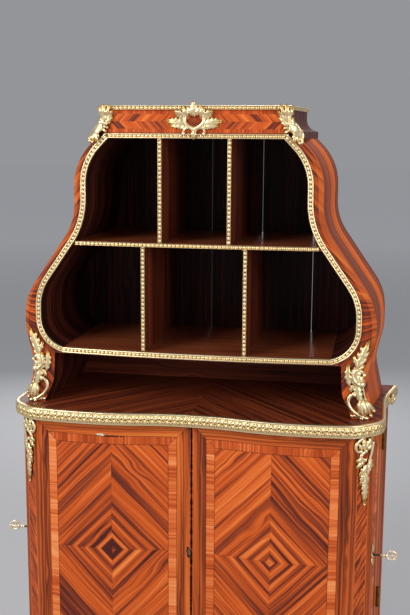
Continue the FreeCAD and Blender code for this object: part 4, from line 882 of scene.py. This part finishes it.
def rim_chase(at, across, out):
    """A waving stem with rosettes and leaf tips on the band, and plain fillets elsewhere."""
    if not BAND_LOW - 0.1 < across < BAND_HIGH + 0.1:
        return (1 if out > 7 else 0.4), 0
    up = across - (BAND_LOW + BAND_HIGH) / 2
    turn = at / RIM_WAVE
    stem = 1 - abs(up - STEM_SWING * math.sin(2 * math.pi * turn)) / STEM_HALF
    tongue = (0.5 + 0.5 * math.cos(8 * math.pi * turn)) * min(max((abs(up) - STEM_SWING) / 4, 0), 1)
    height = max(stem, 0.9 * tongue, 0)
    for share, middle in ROSETTES:
        along = ((turn - share + 0.5) % 1 - 0.5) * RIM_WAVE
        petals = 5.4 + 1.3 * math.cos(5 * math.atan2(up - middle, along))
        height = max(height, 1.15 - math.hypot(along, up - middle) / petals)
    height = min(height, 1) ** 0.5
    return 0.05 + 0.95 * height, CHASE_DEEP * height - CHASE_DEEP


bm = new_relief()
border(bm, rim_line, rim_section, rim_chase, in_plan(RIM_TOP - RIM_TALL))
gild(smooth_mesh(bm, "gilt_base_rim"), "cabinet", "base_top_rim")

# %% [markdown]
# The edges of the pigeonholes have narrow borders: two bright fillets with a row of long beads between
# them. The side borders follow the violin line of the opening, and the borders of shelf, ceiling and bottom
# follow the bow of their boards. Shelf and dividers have narrow fillets and rounder beads. A bead comes
# every 10 mm or so. Where two borders meet at an angle, each runs on with across, by the tangent of half
# that angle. Hundreds of separate beads would be heavy, so they are swellings of the one grid.

# %% Beaded strips
BEAD_STEP = 10.4


def strip_section(wide, thick, fillet):
    """A closed section: back, rounded fillet, sunk channel with nine rows for the beads, rounded fillet."""
    edge = wide * fillet
    channel = [(edge + (wide - 2 * edge) * step / 8, thick * 0.5) for step in range(9)]
    near = [(0, 0.2), (0, thick * 0.75), (edge * 0.3, thick * 0.96), (edge * 0.65, thick),
            (edge * 0.96, thick * 0.85)]
    return near + channel + [(wide - across, out) for across, out in reversed(near)]


def bead_chase(wide, thick, fillet):
    """Long beads in the channel of a strip of this width."""
    def chase(at, across, out):
        if out > thick * 0.7:
            return 0.95, 0
        if out < thick * 0.4:
            return 0.4, 0
        along = (at / BEAD_STEP % 1 - 0.5) * BEAD_STEP
        reach = (along / (BEAD_STEP * 0.43)) ** 4 + ((across - wide / 2) / (wide * (0.5 - fillet))) ** 2
        bead = math.sqrt(max(0, 1 - reach))
        return 0.12 + 0.86 * bead, thick * 0.42 * bead
    return chase


def beaded_strip(bm, line, wide, thick, fillet, set_place, slants=(0, 0)):
    """Adds a beaded border; fillet is the share of its width that each fillet takes."""
    border(bm, line, strip_section(wide, thick, fillet), bead_chase(wide, thick, fillet), set_place, slants)


print("points in a strip's section:", len(strip_section(14, 7, 0.27)))

# %% Strips beside the opening
STRIP_THICK, STRIP_FINE = 7, 1.4
BROAD_FILLET, NARROW_FILLET = 0.27, 0.14
CASE_FACE = -134
OPENING_WIDE = 14
OPENING = [(216, 1497), (275, 1435, 130), (275, 1287, 200), (399, 1109, 125), (399, 986, 76), (341, 968)]
OPENING_SLANTS = (-0.414, 0.2)


def on_case(turn):
    """Sets a border on the case's front, right or left: across runs from the opening outwards."""
    def set_place(place, way, across, out):
        return Vector((turn * (place.x - way.y * across), CASE_FACE - out, place.y + way.x * across)) / 1000
    return set_place


opening_line = rounded_line(OPENING, STRIP_FINE)
for name, turn in (("right", 1), ("left", -1)):
    bm = new_relief()
    beaded_strip(bm, opening_line, OPENING_WIDE, STRIP_THICK, BROAD_FILLET, on_case(turn), OPENING_SLANTS)
    gild(smooth_mesh(bm, "gilt_opening_strip_" + name), "cabinet", "opening_strip_" + name)

# %% Strips of ceiling, shelf and bottom
LEVEL_STRIPS = (("ceiling_strip", 215.8, 6, 1497, 12, BROAD_FILLET, 0.414),
                ("shelf_strip", 304.8, 8, 1232.4, 9.4, NARROW_FILLET, 0),
                ("bottom_strip", 343.4, 16, 953.4, 14.4, BROAD_FILLET, -0.16))


def bowed(half, bow):
    """The front edge of a board that bows forward, from left to right, in plan."""
    turn_angle = math.atan(2 * bow / half)
    radius = 0.44 * half / math.tan(turn_angle / 2)
    front = CASE_FACE - bow
    return [(-half, CASE_FACE), (-half / 2, front, radius), (half / 2, front, radius), (half, CASE_FACE)]


for name, half, bow, low, tall, fillet, slant in LEVEL_STRIPS:
    bm = new_relief()
    beaded_strip(bm, rounded_line(bowed(half, bow), STRIP_FINE), tall, STRIP_THICK, fillet, in_plan(low),
                 (-slant, slant))
    gild(smooth_mesh(bm, "gilt_" + name), "cabinet", name)

# %% Strips of the dividers
DIVIDER_WIDE = 9.2
DIVIDERS = ((86, -138, 1242.4, 1496.6), (128, -144, 968.4, 1231.6))


def on_divider(middle, front):
    """Sets a border on a divider's front edge: across runs to the right."""
    def set_place(place, way, across, out):
        return Vector((middle - DIVIDER_WIDE / 2 + across, front - out, place.y)) / 1000
    return set_place


bm = new_relief()
for middle, front, low, high in DIVIDERS:
    upright_line = rounded_line([(0, low), (0, high)], STRIP_FINE)
    for side in (-1, 1):
        beaded_strip(bm, upright_line, DIVIDER_WIDE, STRIP_THICK, NARROW_FILLET,
                     on_divider(side * middle, front))
gild(smooth_mesh(bm, "gilt_divider_strips"), "cabinet", "divider_strips")

# %% [markdown]
# The crest has a small rim of its own round the top, with a fillet and beads like the strips. It starts at
# the back of one end, turns the corner and follows the bow of the frieze, so it is one more border with a
# longer line.

# %% Rim of the crest
CREST_HALF, CREST_BACK_HALF, CREST_BOW = 228, 241, 6
CREST_CORNER = 12
CREST_RIM_LOW, CREST_RIM_TALL, CREST_RIM_THICK = 1565.5, 10, 7.6
crest_line = [(-CREST_BACK_HALF, CASE_BACK), (-CREST_HALF, CASE_FACE, CREST_CORNER),
              *bowed(CREST_HALF, CREST_BOW)[1:3],
              (CREST_HALF, CASE_FACE, CREST_CORNER), (CREST_BACK_HALF, CASE_BACK)]
bm = new_relief()
beaded_strip(bm, rounded_line(crest_line, 1.5), CREST_RIM_TALL, CREST_RIM_THICK, 0.2, in_plan(CREST_RIM_LOW))
gild(smooth_mesh(bm, "gilt_crest_rim"), "cabinet", "crest_rim")

# %% [markdown]
# The mounts are rococo: acanthus leaves, scrolls that curl up at their ends, and beads. They could be
# sculpted, but three forms that are bent, sized and heaped up give the same play of light, and their
# numbers can be set against the picture. Each mount is set out flat first, in millimetres to the right,
# upwards and out from the wood, and is then wrapped onto its place. A leaf is a grid that is narrowed to a
# lobed outline, crowned, veined in the middle and turned up at its tip, and then given its thickness. A
# heading is in degrees, clockwise from straight up, and a bend turns the leaf as it grows.

# %% A leaf
LEAF_COLUMNS, LEAF_THICK = 8, 1.4


def growth(root, heading, bend, long, share):
    """The place and the direction on an even bend, a share of the way along it."""
    start, turn = math.radians(heading), math.radians(bend) or 1e-4
    now = start + turn * share
    place = Vector((math.cos(start) - math.cos(now), math.sin(now) - math.sin(start))) * long / turn
    return Vector(root) + place, Vector((math.cos(now), -math.sin(now)))


def leaf(bm, root, heading, long, wide, bend=0, lift=4, tip=3, lobes=4, out=1):
    """Adds an acanthus leaf."""
    layer = bm.verts.layers.float["relief"]
    grid = bmesh.ops.create_grid(bm, x_segments=LEAF_COLUMNS, y_segments=4 * lobes + 2, size=1)["verts"]
    for vertex in grid:
        side, share = vertex.co.x, (vertex.co.y + 1) / 2
        lobe = abs(math.cos(math.pi * lobes * share))
        outline = math.sin(math.pi * (0.06 + 0.92 * share ** 0.85)) ** 0.75 * (1 - 0.38 * lobe)
        swept = min(1, share + 0.07 * side * side * (1 - share))
        place, right = growth(root, heading, bend, long, swept)
        place += right * side * outline * wide / 2
        vein = math.exp(-(side / 0.16) ** 2)
        crown = math.sin(math.pi * min(1, 0.15 + share)) ** 0.5 * (1 - 0.6 * side * side)
        flute = 0.5 + 0.5 * math.cos(4 * math.pi * side)
        height = out + lift * crown - 0.9 * vein + tip * share ** 3 - 0.7 * lobe * abs(side)
        vertex.co = (place.x, place.y, height)
        vertex[layer] = 0.35 + 0.65 * crown - 0.45 * vein + 0.15 * flute - 0.3 * lobe * abs(side)
    faces = list({face for vertex in grid for face in vertex.link_faces})
    bmesh.ops.recalc_face_normals(bm, faces=faces)
    bmesh.ops.solidify(bm, geom=faces, thickness=LEAF_THICK)


print("a leaf that bends by 90 degrees ends at", growth((0, 0), 0, 90, 100, 1)[0])

# %% Scrolls and beads
SCROLL_STEPS, SCROLL_AROUND = 26, 8


def bead(bm, place, radius, out=2):
    """Adds a bead."""
    layer = bm.verts.layers.float["relief"]
    spot = Matrix.Translation((place[0], place[1], out))
    for vertex in bmesh.ops.create_icosphere(bm, subdivisions=2, radius=radius, matrix=spot)["verts"]:
        vertex[layer] = 0.55 + 0.45 * (vertex.co.z - out) / radius


def scroll(bm, root, heading, long, curl, thick=4, thin=2, out=2.5, quicken=1.6):
    """Adds a tapered scroll whose bend grows towards its end, where it closes on a bead."""
    layer = bm.verts.layers.float["relief"]
    spine, place = [], Vector(root)
    for step in range(SCROLL_STEPS + 1):
        angle = math.radians(heading + curl * (step / SCROLL_STEPS) ** quicken)
        spine.append((place.copy(), Vector((math.cos(angle), -math.sin(angle)))))
        place += Vector((math.sin(angle), math.cos(angle))) * long / SCROLL_STEPS
    grid = bmesh.ops.create_grid(bm, x_segments=SCROLL_STEPS, y_segments=SCROLL_AROUND, size=1)["verts"]
    for vertex in grid:
        step = round((vertex.co.x + 1) / 2 * SCROLL_STEPS)
        angle = math.pi * (vertex.co.y + 1)
        size = thick + (thin - thick) * step / SCROLL_STEPS
        centre, right = spine[step]
        flat = centre + right * size * math.cos(angle)
        vertex.co = (flat.x, flat.y, out + size * math.sin(angle))
        vertex[layer] = 0.5 + 0.5 * math.sin(angle)
    bmesh.ops.remove_doubles(bm, verts=grid, dist=1e-4)
    bmesh.ops.holes_fill(bm, edges=[edge for edge in bm.edges if edge.is_boundary])
    bead(bm, spine[-1][0], thin * 1.7, out + 0.6)


print("faces round a scroll:", SCROLL_STEPS * SCROLL_AROUND)

# %% Mounts from their forms
def wrapped(name, forms, wrap):
    """Builds a piece from its forms and wraps it onto its place."""
    bm = new_relief()
    for form, *numbers in forms:
        form(bm, *numbers)
    for vertex in bm.verts:
        vertex.co = Vector(wrap(*vertex.co)) / 1000
    return smooth_mesh(bm, name)


def mirrored(wrap):
    """The same place on the left."""
    def wrap_left(u, v, h):
        x, y, z = wrap(u, v, h)
        return -x, y, z
    return wrap_left


def both_sides(name, forms, wrap, *stands_for):
    """A mount on the right and its mirror image on the left, on the cabinet."""
    for side, place in (("_right", wrap), ("_left", mirrored(wrap))):
        gild(wrapped(name + side, forms, place), "cabinet", *[node + side for node in stands_for])


def ease(value, low, high):
    """A smooth step from 0 at low to 1 at high."""
    share = min(max((value - low) / (high - low), 0), 1)
    return share * share * (3 - 2 * share)


print("a quarter of the way up a smooth step:", ease(0.25, 0, 1))

# %% [markdown]
# The cartouche in the middle of the frieze is a heart of scrolls that leaves the wood bare inside. Leaves
# spread from it to both sides, a bud rises over the rim and a drop hangs over the beaded strip, so the
# mount stands further out at its top and bottom. Most of its forms come in pairs, so a loop mirrors them.

# %% Cartouche
FRIEZE_FACE, CARTOUCHE_HIGH = -140.2, 1541


def on_frieze(u, v, h):
    """Flat on the frieze, and further out over the rim above and the strip below."""
    over = 8 * ease(v, 8, 20) + 7 * ease(-v, 22, 31)
    return u, FRIEZE_FACE - h - over, CARTOUCHE_HIGH + v


HEART = []
for turn in (-1, 1):
    HEART += [
        (scroll, (0, -21), turn * 72, 70, turn * -224, 5.6, 3, 4),
        (scroll, (turn * 3, -23), turn * 58, 34, turn * 160, 4, 2.6, 3.5),
        (leaf, (turn * 19, -9), turn * 76, 50, 28, turn * 14, 6, 4, 5, 1),
        (leaf, (turn * 20, 2), turn * 46, 34, 22, turn * 22, 6, 4, 4, 1.5),
        (leaf, (turn * 16, 8), turn * 16, 24, 17, turn * 26, 5, 3, 3, 2),
        (leaf, (turn * 21, -13), turn * 98, 40, 18, turn * -18, 5, 3, 4, 1),
        (leaf, (turn * 14, -17), turn * 84, 24, 14, turn * 30, 5, 3, 3, 2),
        (bead, (turn * 7, 13), 3.4, 4),
        (bead, (turn * 46, -1), 3, 6),
    ]
HEART += [
    (leaf, (0, 12), 0, 32, 24, 0, 6, 4, 4, 2),
    (leaf, (3, 14), 50, 27, 15, -20, 5, 3, 3, 2),
    (leaf, (-3, 14), -44, 22, 14, 20, 5, 3, 3, 2),
    (leaf, (0, -20), 180, 26, 16, 0, 5, 2, 3, 1.5),
    (bead, (0, 39), 4.8, 4),
    (bead, (0, -24), 4.4, 5),
    (bead, (0, 12), 4, 5),
]
gild(wrapped("gilt_cartouche", HEART, on_frieze), "cabinet", "cartouche")

# %% [markdown]
# The mounts at the crest's corners are like small capitals: leaves spread from a waist and turn over at the
# rim, and below the waist one large smooth leaf rolls over onto the beaded strip. They bend round the
# corner of the frieze, stand out over the rim above, and lie flat on the front of the case below. Bending
# the finished mesh point by point lets one flat drawing follow all three.

# %% Corner mounts of the crest
CORNER_OUT, CORNER_FRONT, CORNER_HIGH = 236, -136.5, 1561
CORNER_TURN = math.radians(36)
CORNER_BEND = -10
MOVED_INWARDS = 6


def on_corner(u, v, h):
    """Flat on the frieze up to its end, turned back round the corner, and flat again below the crest."""
    u -= MOVED_INWARDS
    angle = CORNER_TURN * ease(v, -66, -46)
    past = max(u - CORNER_BEND, 0)
    turn = ease(u, CORNER_BEND - 4, CORNER_BEND + 14) * angle
    out = h + 8 * ease(v, -10, 0) + 5 * ease(-v, 38, 54)
    return (CORNER_OUT + min(u, CORNER_BEND) + past * math.cos(angle) + out * math.sin(turn),
            CORNER_FRONT + past * math.sin(angle) - out * math.cos(turn), CORNER_HIGH + v)


CORNER = [
    (leaf, (-9, -25), -16, 45, 16, -4, 7, 6, 3, 2),
    (leaf, (-6, -25), -3, 44, 18, 0, 8, 6, 3, 3),
    (leaf, (-4, -25), 8, 39, 14, 4, 7, 5, 3, 2),
    (leaf, (-9, -22), -46, 33, 14, 10, 6, 4, 3, 2.5),
    (leaf, (-8, -27), -58, 25, 13, 10, 6, 4, 3, 2.5),
    (leaf, (-5, -32), -68, 19, 11, 12, 5, 3, 2, 2.5),
    (leaf, (-1, -35), -100, 17, 10, -14, 5, 3, 2, 2.5),
    (leaf, (3, -38), -122, 20, 11, -14, 5, 3, 2, 2.5),
    (leaf, (-4, -30), 30, 20, 11, 10, 6, 3, 2, 3),
    (scroll, (-14, -30), 72, 17, 20, 4.6, 4.2, 6, 1),
    (leaf, (-3, -27), 138, 60, 34, 16, 11, 2, 3, 4),
    (scroll, (3, -24), 114, 58, 76, 3.4, 2.4, 6.5, 1),
    (leaf, (8, -44), 168, 32, 13, 10, 7, 3, 2, 6),
    (bead, (-6, -28), 5, 8),
    (bead, (24, -73), 3.2, 6),
]
both_sides("gilt_corner_mount", CORNER, on_corner, "corner_mount")

# %% [markdown]
# On each upper foot the leaves climb the canted edge of the leg from a foliate paw. The wrap follows the
# leg: the front face, then the cant, then the side, at the height of each point.

# %% Line of the upper legs
LEG_FRONT, LEG_INSET = -125, 10
LEG_CANT = math.radians(42)
CANT_HALF = 13.5
leg_line = rounded_line([(448, RIM_TOP), (427, LEG_TOP, 150), (449, 1008, 150), (449, 1090)], 3)


def leg_edge(z):
    """How far from the middle the outer line of the leg is at this height."""
    return min(leg_line, key=lambda spot: abs(spot[0].y - z))[0].x


def on_leg(u, v, h):
    """Round the canted front corner of the leg."""
    edge = leg_edge(RIM_TOP + v)
    turn = ease(u, -19, -8) * LEG_CANT + ease(u, 9, 18) * (math.pi / 2 - LEG_CANT)
    along = min(max(u, -CANT_HALF), CANT_HALF)
    past_front, past_side = min(u + CANT_HALF, 0), max(u - CANT_HALF, 0)
    return (edge - LEG_INSET + along * math.cos(LEG_CANT) + past_front + h * math.sin(turn),
            LEG_FRONT + along * math.sin(LEG_CANT) + past_side - h * math.cos(turn), RIM_TOP + v)


print("the leg is narrowest at", round(min(leg_line, key=lambda spot: spot[0].x)[0].y), "mm up")

# %% Mounts of the upper feet
LEG = [
    (leaf, (-16, 46), 192, 44, 18, -10, 9, 2, 2, 3),
    (leaf, (-12, 46), 178, 42, 17, 0, 10, 2, 2, 3.5),
    (leaf, (-8, 46), 164, 40, 17, 4, 10, 2, 2, 3.5),
    (leaf, (-4, 44), 144, 34, 16, 8, 9, 2, 2, 3),
    (bead, (-21, 3), 4.8, 6),
    (bead, (-11, 4), 4.8, 7),
    (bead, (1.5, 9), 4.8, 7),
    (bead, (13, 19), 4.6, 6),
    (leaf, (-12, 20), -4, 38, 28, 0, 10, 2, 3, 3),
    (scroll, (-16, 5), 296, 80, 150, 6, 4, 4),
    (bead, (-44, 8), 4.2, 4),
    (leaf, (-42, 9), 96, 20, 11, 20, 5, 2, 2, 2),
    (leaf, (-26, 88), 206, 24, 14, 10, 5, 2, 2, 2.5),
    (leaf, (-17, 44), -3, 60, 25, -2, 8, 2, 5, 3),
    (scroll, (-2, 40), -4, 50, 6, 2.6, 2, 3),
    (bead, (-8, 86), 3, 4),
    (bead, (-7, 74), 3.2, 4),
    (bead, (-5, 62), 3.2, 4),
    (bead, (-3, 50), 3.4, 4),
    (leaf, (-23, 84), 0, 52, 36, -4, 9, 3, 4, 3),
    (scroll, (-24, 126), 216, 46, -116, 3.6, 4.6, 9, 1),
    (scroll, (-34, 122), 62, 34, 100, 3.6, 2.8, 8, 1),
    (leaf, (-16, 108), 152, 26, 13, -20, 6, 3, 3, 5),
    (bead, (-11, 106), 4, 7),
    (leaf, (-36, 82), -12, 58, 23, 2, 6, 4, 4, 2),
    (leaf, (-26, 92), -50, 30, 17, 20, 5, 3, 3, 2),
    (leaf, (-25, 126), 9, 74, 19, 2, 7, 4, 5, 3),
    (leaf, (-18, 160), -24, 26, 13, 4, 6, 4, 2, 2.5),
    (leaf, (-20, 145), -28, 28, 13, 4, 6, 4, 2, 2.5),
    (leaf, (-22, 132), -36, 34, 15, 6, 6, 4, 3, 2.5),
    (leaf, (-22, 130), 26, 31, 13, 2, 6, 4, 2, 2.5),
    (leaf, (-16, 154), 28, 20, 10, -4, 6, 4, 2, 2.5),
    (leaf, (-24, 120), 44, 24, 11, -8, 6, 3, 2, 3),
    (bead, (-24, 124), 4.4, 8),
]
both_sides("gilt_foot_mount", LEG, on_leg, "foot_mount")

# %% [markdown]
# Under the base's rim each corner post carries a pierced hanging mount: scrolls and leaves at the top, a
# stem with a leaf to either side, and a long leaf that runs out to a point. The wood shows between them.

# %% Hanging mounts on the posts
CHUTE_HIGH = 786


def on_post(u, v, h):
    """Flat on the canted face of the post."""
    return (POST_OUT + u * math.cos(CANT) + h * math.sin(CANT),
            POST_FRONT + u * math.sin(CANT) - h * math.cos(CANT), CHUTE_HIGH + v)


CHUTE = [
    (scroll, (-8, -5), 255, 56, -190, 5.4, 3.2, 4),
    (leaf, (0, -32), 36, 36, 26, 16, 7, 3, 4, 2),
    (leaf, (-3, -36), -6, 34, 24, 0, 7, 3, 4, 2.5),
    (leaf, (-6, -34), -52, 24, 15, 20, 5, 3, 3, 2),
    (leaf, (4, -34), 82, 24, 17, -30, 6, 3, 3, 2),
    (scroll, (4, -40), 262, 44, -220, 4.8, 3, 4),
    (scroll, (24, -18), 188, 92, 34, 4.4, 3, 4),
    (leaf, (-2, -58), 268, 27, 18, -14, 6, 3, 3, 2),
    (leaf, (-2, -66), 248, 28, 17, -10, 6, 3, 3, 2),
    (leaf, (6, -72), 214, 38, 24, 4, 8, 3, 3, 3),
    (leaf, (8, -100), 16, 46, 17, -6, 6, 3, 4, 2),
    (leaf, (10, -62), 150, 30, 15, -20, 6, 3, 3, 2),
    (bead, (20, -66), 3.6, 4),
    (bead, (19, -78), 3.4, 4),
    (bead, (17, -89), 3.2, 4),
    (leaf, (0, -96), 177, 84, 27, 0, 8, 2, 6, 2),
    (leaf, (-1, -94), 208, 34, 15, -18, 6, 3, 3, 2),
    (leaf, (3, -96), 152, 32, 15, 18, 6, 3, 3, 2),
    (leaf, (0, -116), 200, 24, 12, -14, 6, 3, 3, 3),
    (leaf, (2, -116), 160, 24, 12, 14, 6, 3, 3, 3),
    (bead, (0, -38), 5.4, 6),
    (bead, (0, -97), 4.6, 6),
    (leaf, (1, -134), 196, 24, 11, -12, 6, 3, 2, 2.5),
    (leaf, (3, -134), 162, 24, 11, 12, 6, 3, 2, 2.5),
    (bead, (4, -178), 3, 3),
]
both_sides("gilt_chute", CHUTE, on_post, "chute")

# %% [markdown]
# Where the base's rim turns outwards at its two back ends, a boss closes the chasing: petals round a large
# bead, and leaves that lie along the rim to either side. It sits on the rim's face, on the line that the
# rim follows.

# %% Bosses at the ends of the base's rim
BOSS_STEPS, BOSS_OUT = 56, 7
boss_place, boss_way = rim_line[-BOSS_STEPS][:2]


def on_rim_end(u, v, h):
    """On the outer face of the rim near its right end; u runs along the rim and v up from its middle."""
    spot = boss_place + boss_way * u
    out = h + BOSS_OUT
    return spot.x + boss_way.y * out, spot.y - boss_way.x * out, RIM_TOP - RIM_TALL / 2 + v


BOSS = [(leaf, (0, 0), heading, 18, 17, 0, 9, 4, 2, 3) for heading in range(0, 360, 60)]
BOSS += [(leaf, (turn * 8, 0), turn * 90, 34, 22, turn * 10, 8, 2, 4, 1) for turn in (-1, 1)]
BOSS.append((bead, (0, 0), 8, 9))
both_sides("gilt_rim_boss", BOSS, on_rim_end)

# %% [markdown]
# The locks are in the side doors. The plate round each keyhole is a spray of gilt leaves, made like the
# other mounts, but it rides on its door.

# %% Escutcheons
DOOR_FACE, KEYHOLE_DEPTH, KEYHOLE_HIGH = 455, -92, 450


def on_door(u, v, h):
    """Flat on the outer face of the right door, round the keyhole."""
    return DOOR_FACE + h, KEYHOLE_DEPTH + u, KEYHOLE_HIGH + v


PLATE = [(scroll, (-6.2, -1), 0, 39, 360, 1.9, 1.9, 1.6, 1)]
for turn in (-1, 1):
    PLATE += [
        (leaf, (0, turn * 7), 90 - turn * 90, 27, 17, 0, 5, 3, 3, 0.2),
        (leaf, (2, turn * 6), 90 - turn * 52, 18, 9, 0, 4, 2, 2, 0.2),
        (leaf, (-2, turn * 6), 270 + turn * 52, 18, 9, 0, 4, 2, 2, 0.2),
    ]
for name, wrap in (("right", on_door), ("left", mirrored(on_door))):
    gild(wrapped("gilt_escutcheon_" + name, PLATE, wrap), "door_" + name, "escutcheon_" + name)

# %% [markdown]
# Filed iron is grey and darkens in patches where it was handled, and old brass turns from gold to a dull
# brown, so each of these metals is a ramp over a soft noise. A key's shank is dark iron, and its bow, from
# the neck outwards, is gilt brass, paler than the mounts' gilt as a painted highlight where it catches the
# light. Two pieces could carry the two metals, but a key turns as one, so it is one piece whose material
# changes along its axis.

# %% Iron, brass and the keys' metal
PATCH_MM = 14
# The pale gold of a key's bow is gilt brass lifted by a painted highlight.
PALE_GOLD_AND_HIGHLIGHT = ((0.3, "#F3DDB0"), (0.7, "#FFF4DC"))


def metal(name, stops, roughness, gilt_from=None):
    """A worn metal; past gilt_from, in millimetres from the middle, it is gilt brass with a pale painted
    highlight.
    """
    material, tree, (x, y, z) = new_material(name)
    place = add(tree, "TexCoord").outputs["Object"]
    patches = add(tree, "TexNoise", {"Vector": place, "Scale": 1000 / PATCH_MM, "Detail": 4})
    colour = add(tree, "ValToRGB", (patches,), stops)
    if gilt_from:
        far = add(tree, "Math", (x,), operation="ABSOLUTE")
        gilded = add(tree, "Math", (far, gilt_from), operation="GREATER_THAN")
        gilt_and_highlight = add(tree, "ValToRGB", (patches,), PALE_GOLD_AND_HIGHLIGHT)
        colour = add(tree, "Mix", {"Factor": gilded, "A": colour, "B": gilt_and_highlight}, data_type="RGBA")
    shader = add(tree, "BsdfPrincipled", {"Base Color": colour, "Metallic": 1, "Roughness": roughness})
    add(tree, "OutputMaterial", (shader,))
    return material


FILED_IRON = ((0.3, "#4A4743"), (0.7, "#7A766F"))
OLD_BRASS = ((0.3, "#5A4420"), (0.7, "#8C6C36"))
dress(metal("filed_iron", FILED_IRON, 0.45), "lock_case", "lock_bolt")
dress(metal("old_brass", OLD_BRASS, 0.5), "hinge_pins", "hinge_post_leaves", "hinge_door_leaf")

# %% [markdown]
# A key is set out flat like the mounts, along its own axis: first to the bow's end, upwards, and out from
# its middle plane. A shank, a bit, two collars and a ring with curls inside make it, so the bow is pierced
# as the real one is.

# %% Keys
DARK_IRON = ((0.35, "#2B2927"), (0.6, "#55524D"))
KEY_NECK = 479
key_metal = metal("key_iron_and_gilt_brass_with_painted_highlight", DARK_IRON, 0.42, KEY_NECK)


def block(bm, middle, size):
    """Adds a plain block, for the key's bit."""
    layer = bm.verts.layers.float["relief"]
    spot = Matrix.Translation(middle) @ Matrix.Diagonal((*size, 1))
    for vertex in bmesh.ops.create_cube(bm, size=1, matrix=spot)["verts"]:
        vertex[layer] = 0.6


def in_lock(u, v, h):
    """Along the axis of the right lock; u is from the cupboard's middle outwards."""
    return u, KEYHOLE_DEPTH - h, KEYHOLE_HIGH + v


KEY = [
    (scroll, (422, 0), 90, 72, 0, 3, 2.8, 0, 1),
    (block, (426.5, -5.5, 0), (8, 11, 3)),
    (bead, (459, 0), 4.2, 0),
    (bead, (486, 0), 4.4, 0),
    (scroll, (494.5, 0), 0, 76, 360, 2.3, 2.3, 0, 1),
    (scroll, (494, 0), 90, 24, 0, 1.9, 1.7, 0, 1),
    (scroll, (502, 0), 0, 11, 20, 1.6, 1.4, 0, 1),
    (scroll, (507, 0), 10, 11, 20, 1.6, 1.4, 0, 1),
    (scroll, (512, 0), 30, 10, 20, 1.6, 1.4, 0, 1),
    (scroll, (504, 0), 170, 11, -20, 1.6, 1.4, 0, 1),
    (scroll, (510, 0), 150, 11, -20, 1.6, 1.4, 0, 1),
    (bead, (519, 0), 3, 0),
]
for name, wrap in (("right", in_lock), ("left", mirrored(in_lock))):
    key = wrapped("key_with_pierced_bow_" + name, KEY, wrap)
    key.data.materials.append(key_metal)
    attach(key, "key_" + name)
    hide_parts("key_" + name)

# %% [markdown]
# The last cell prints the box round the dressed object.

# %% Size of the dressed object
low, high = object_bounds()
print("dressed box from", tuple(low), "to", tuple(high))
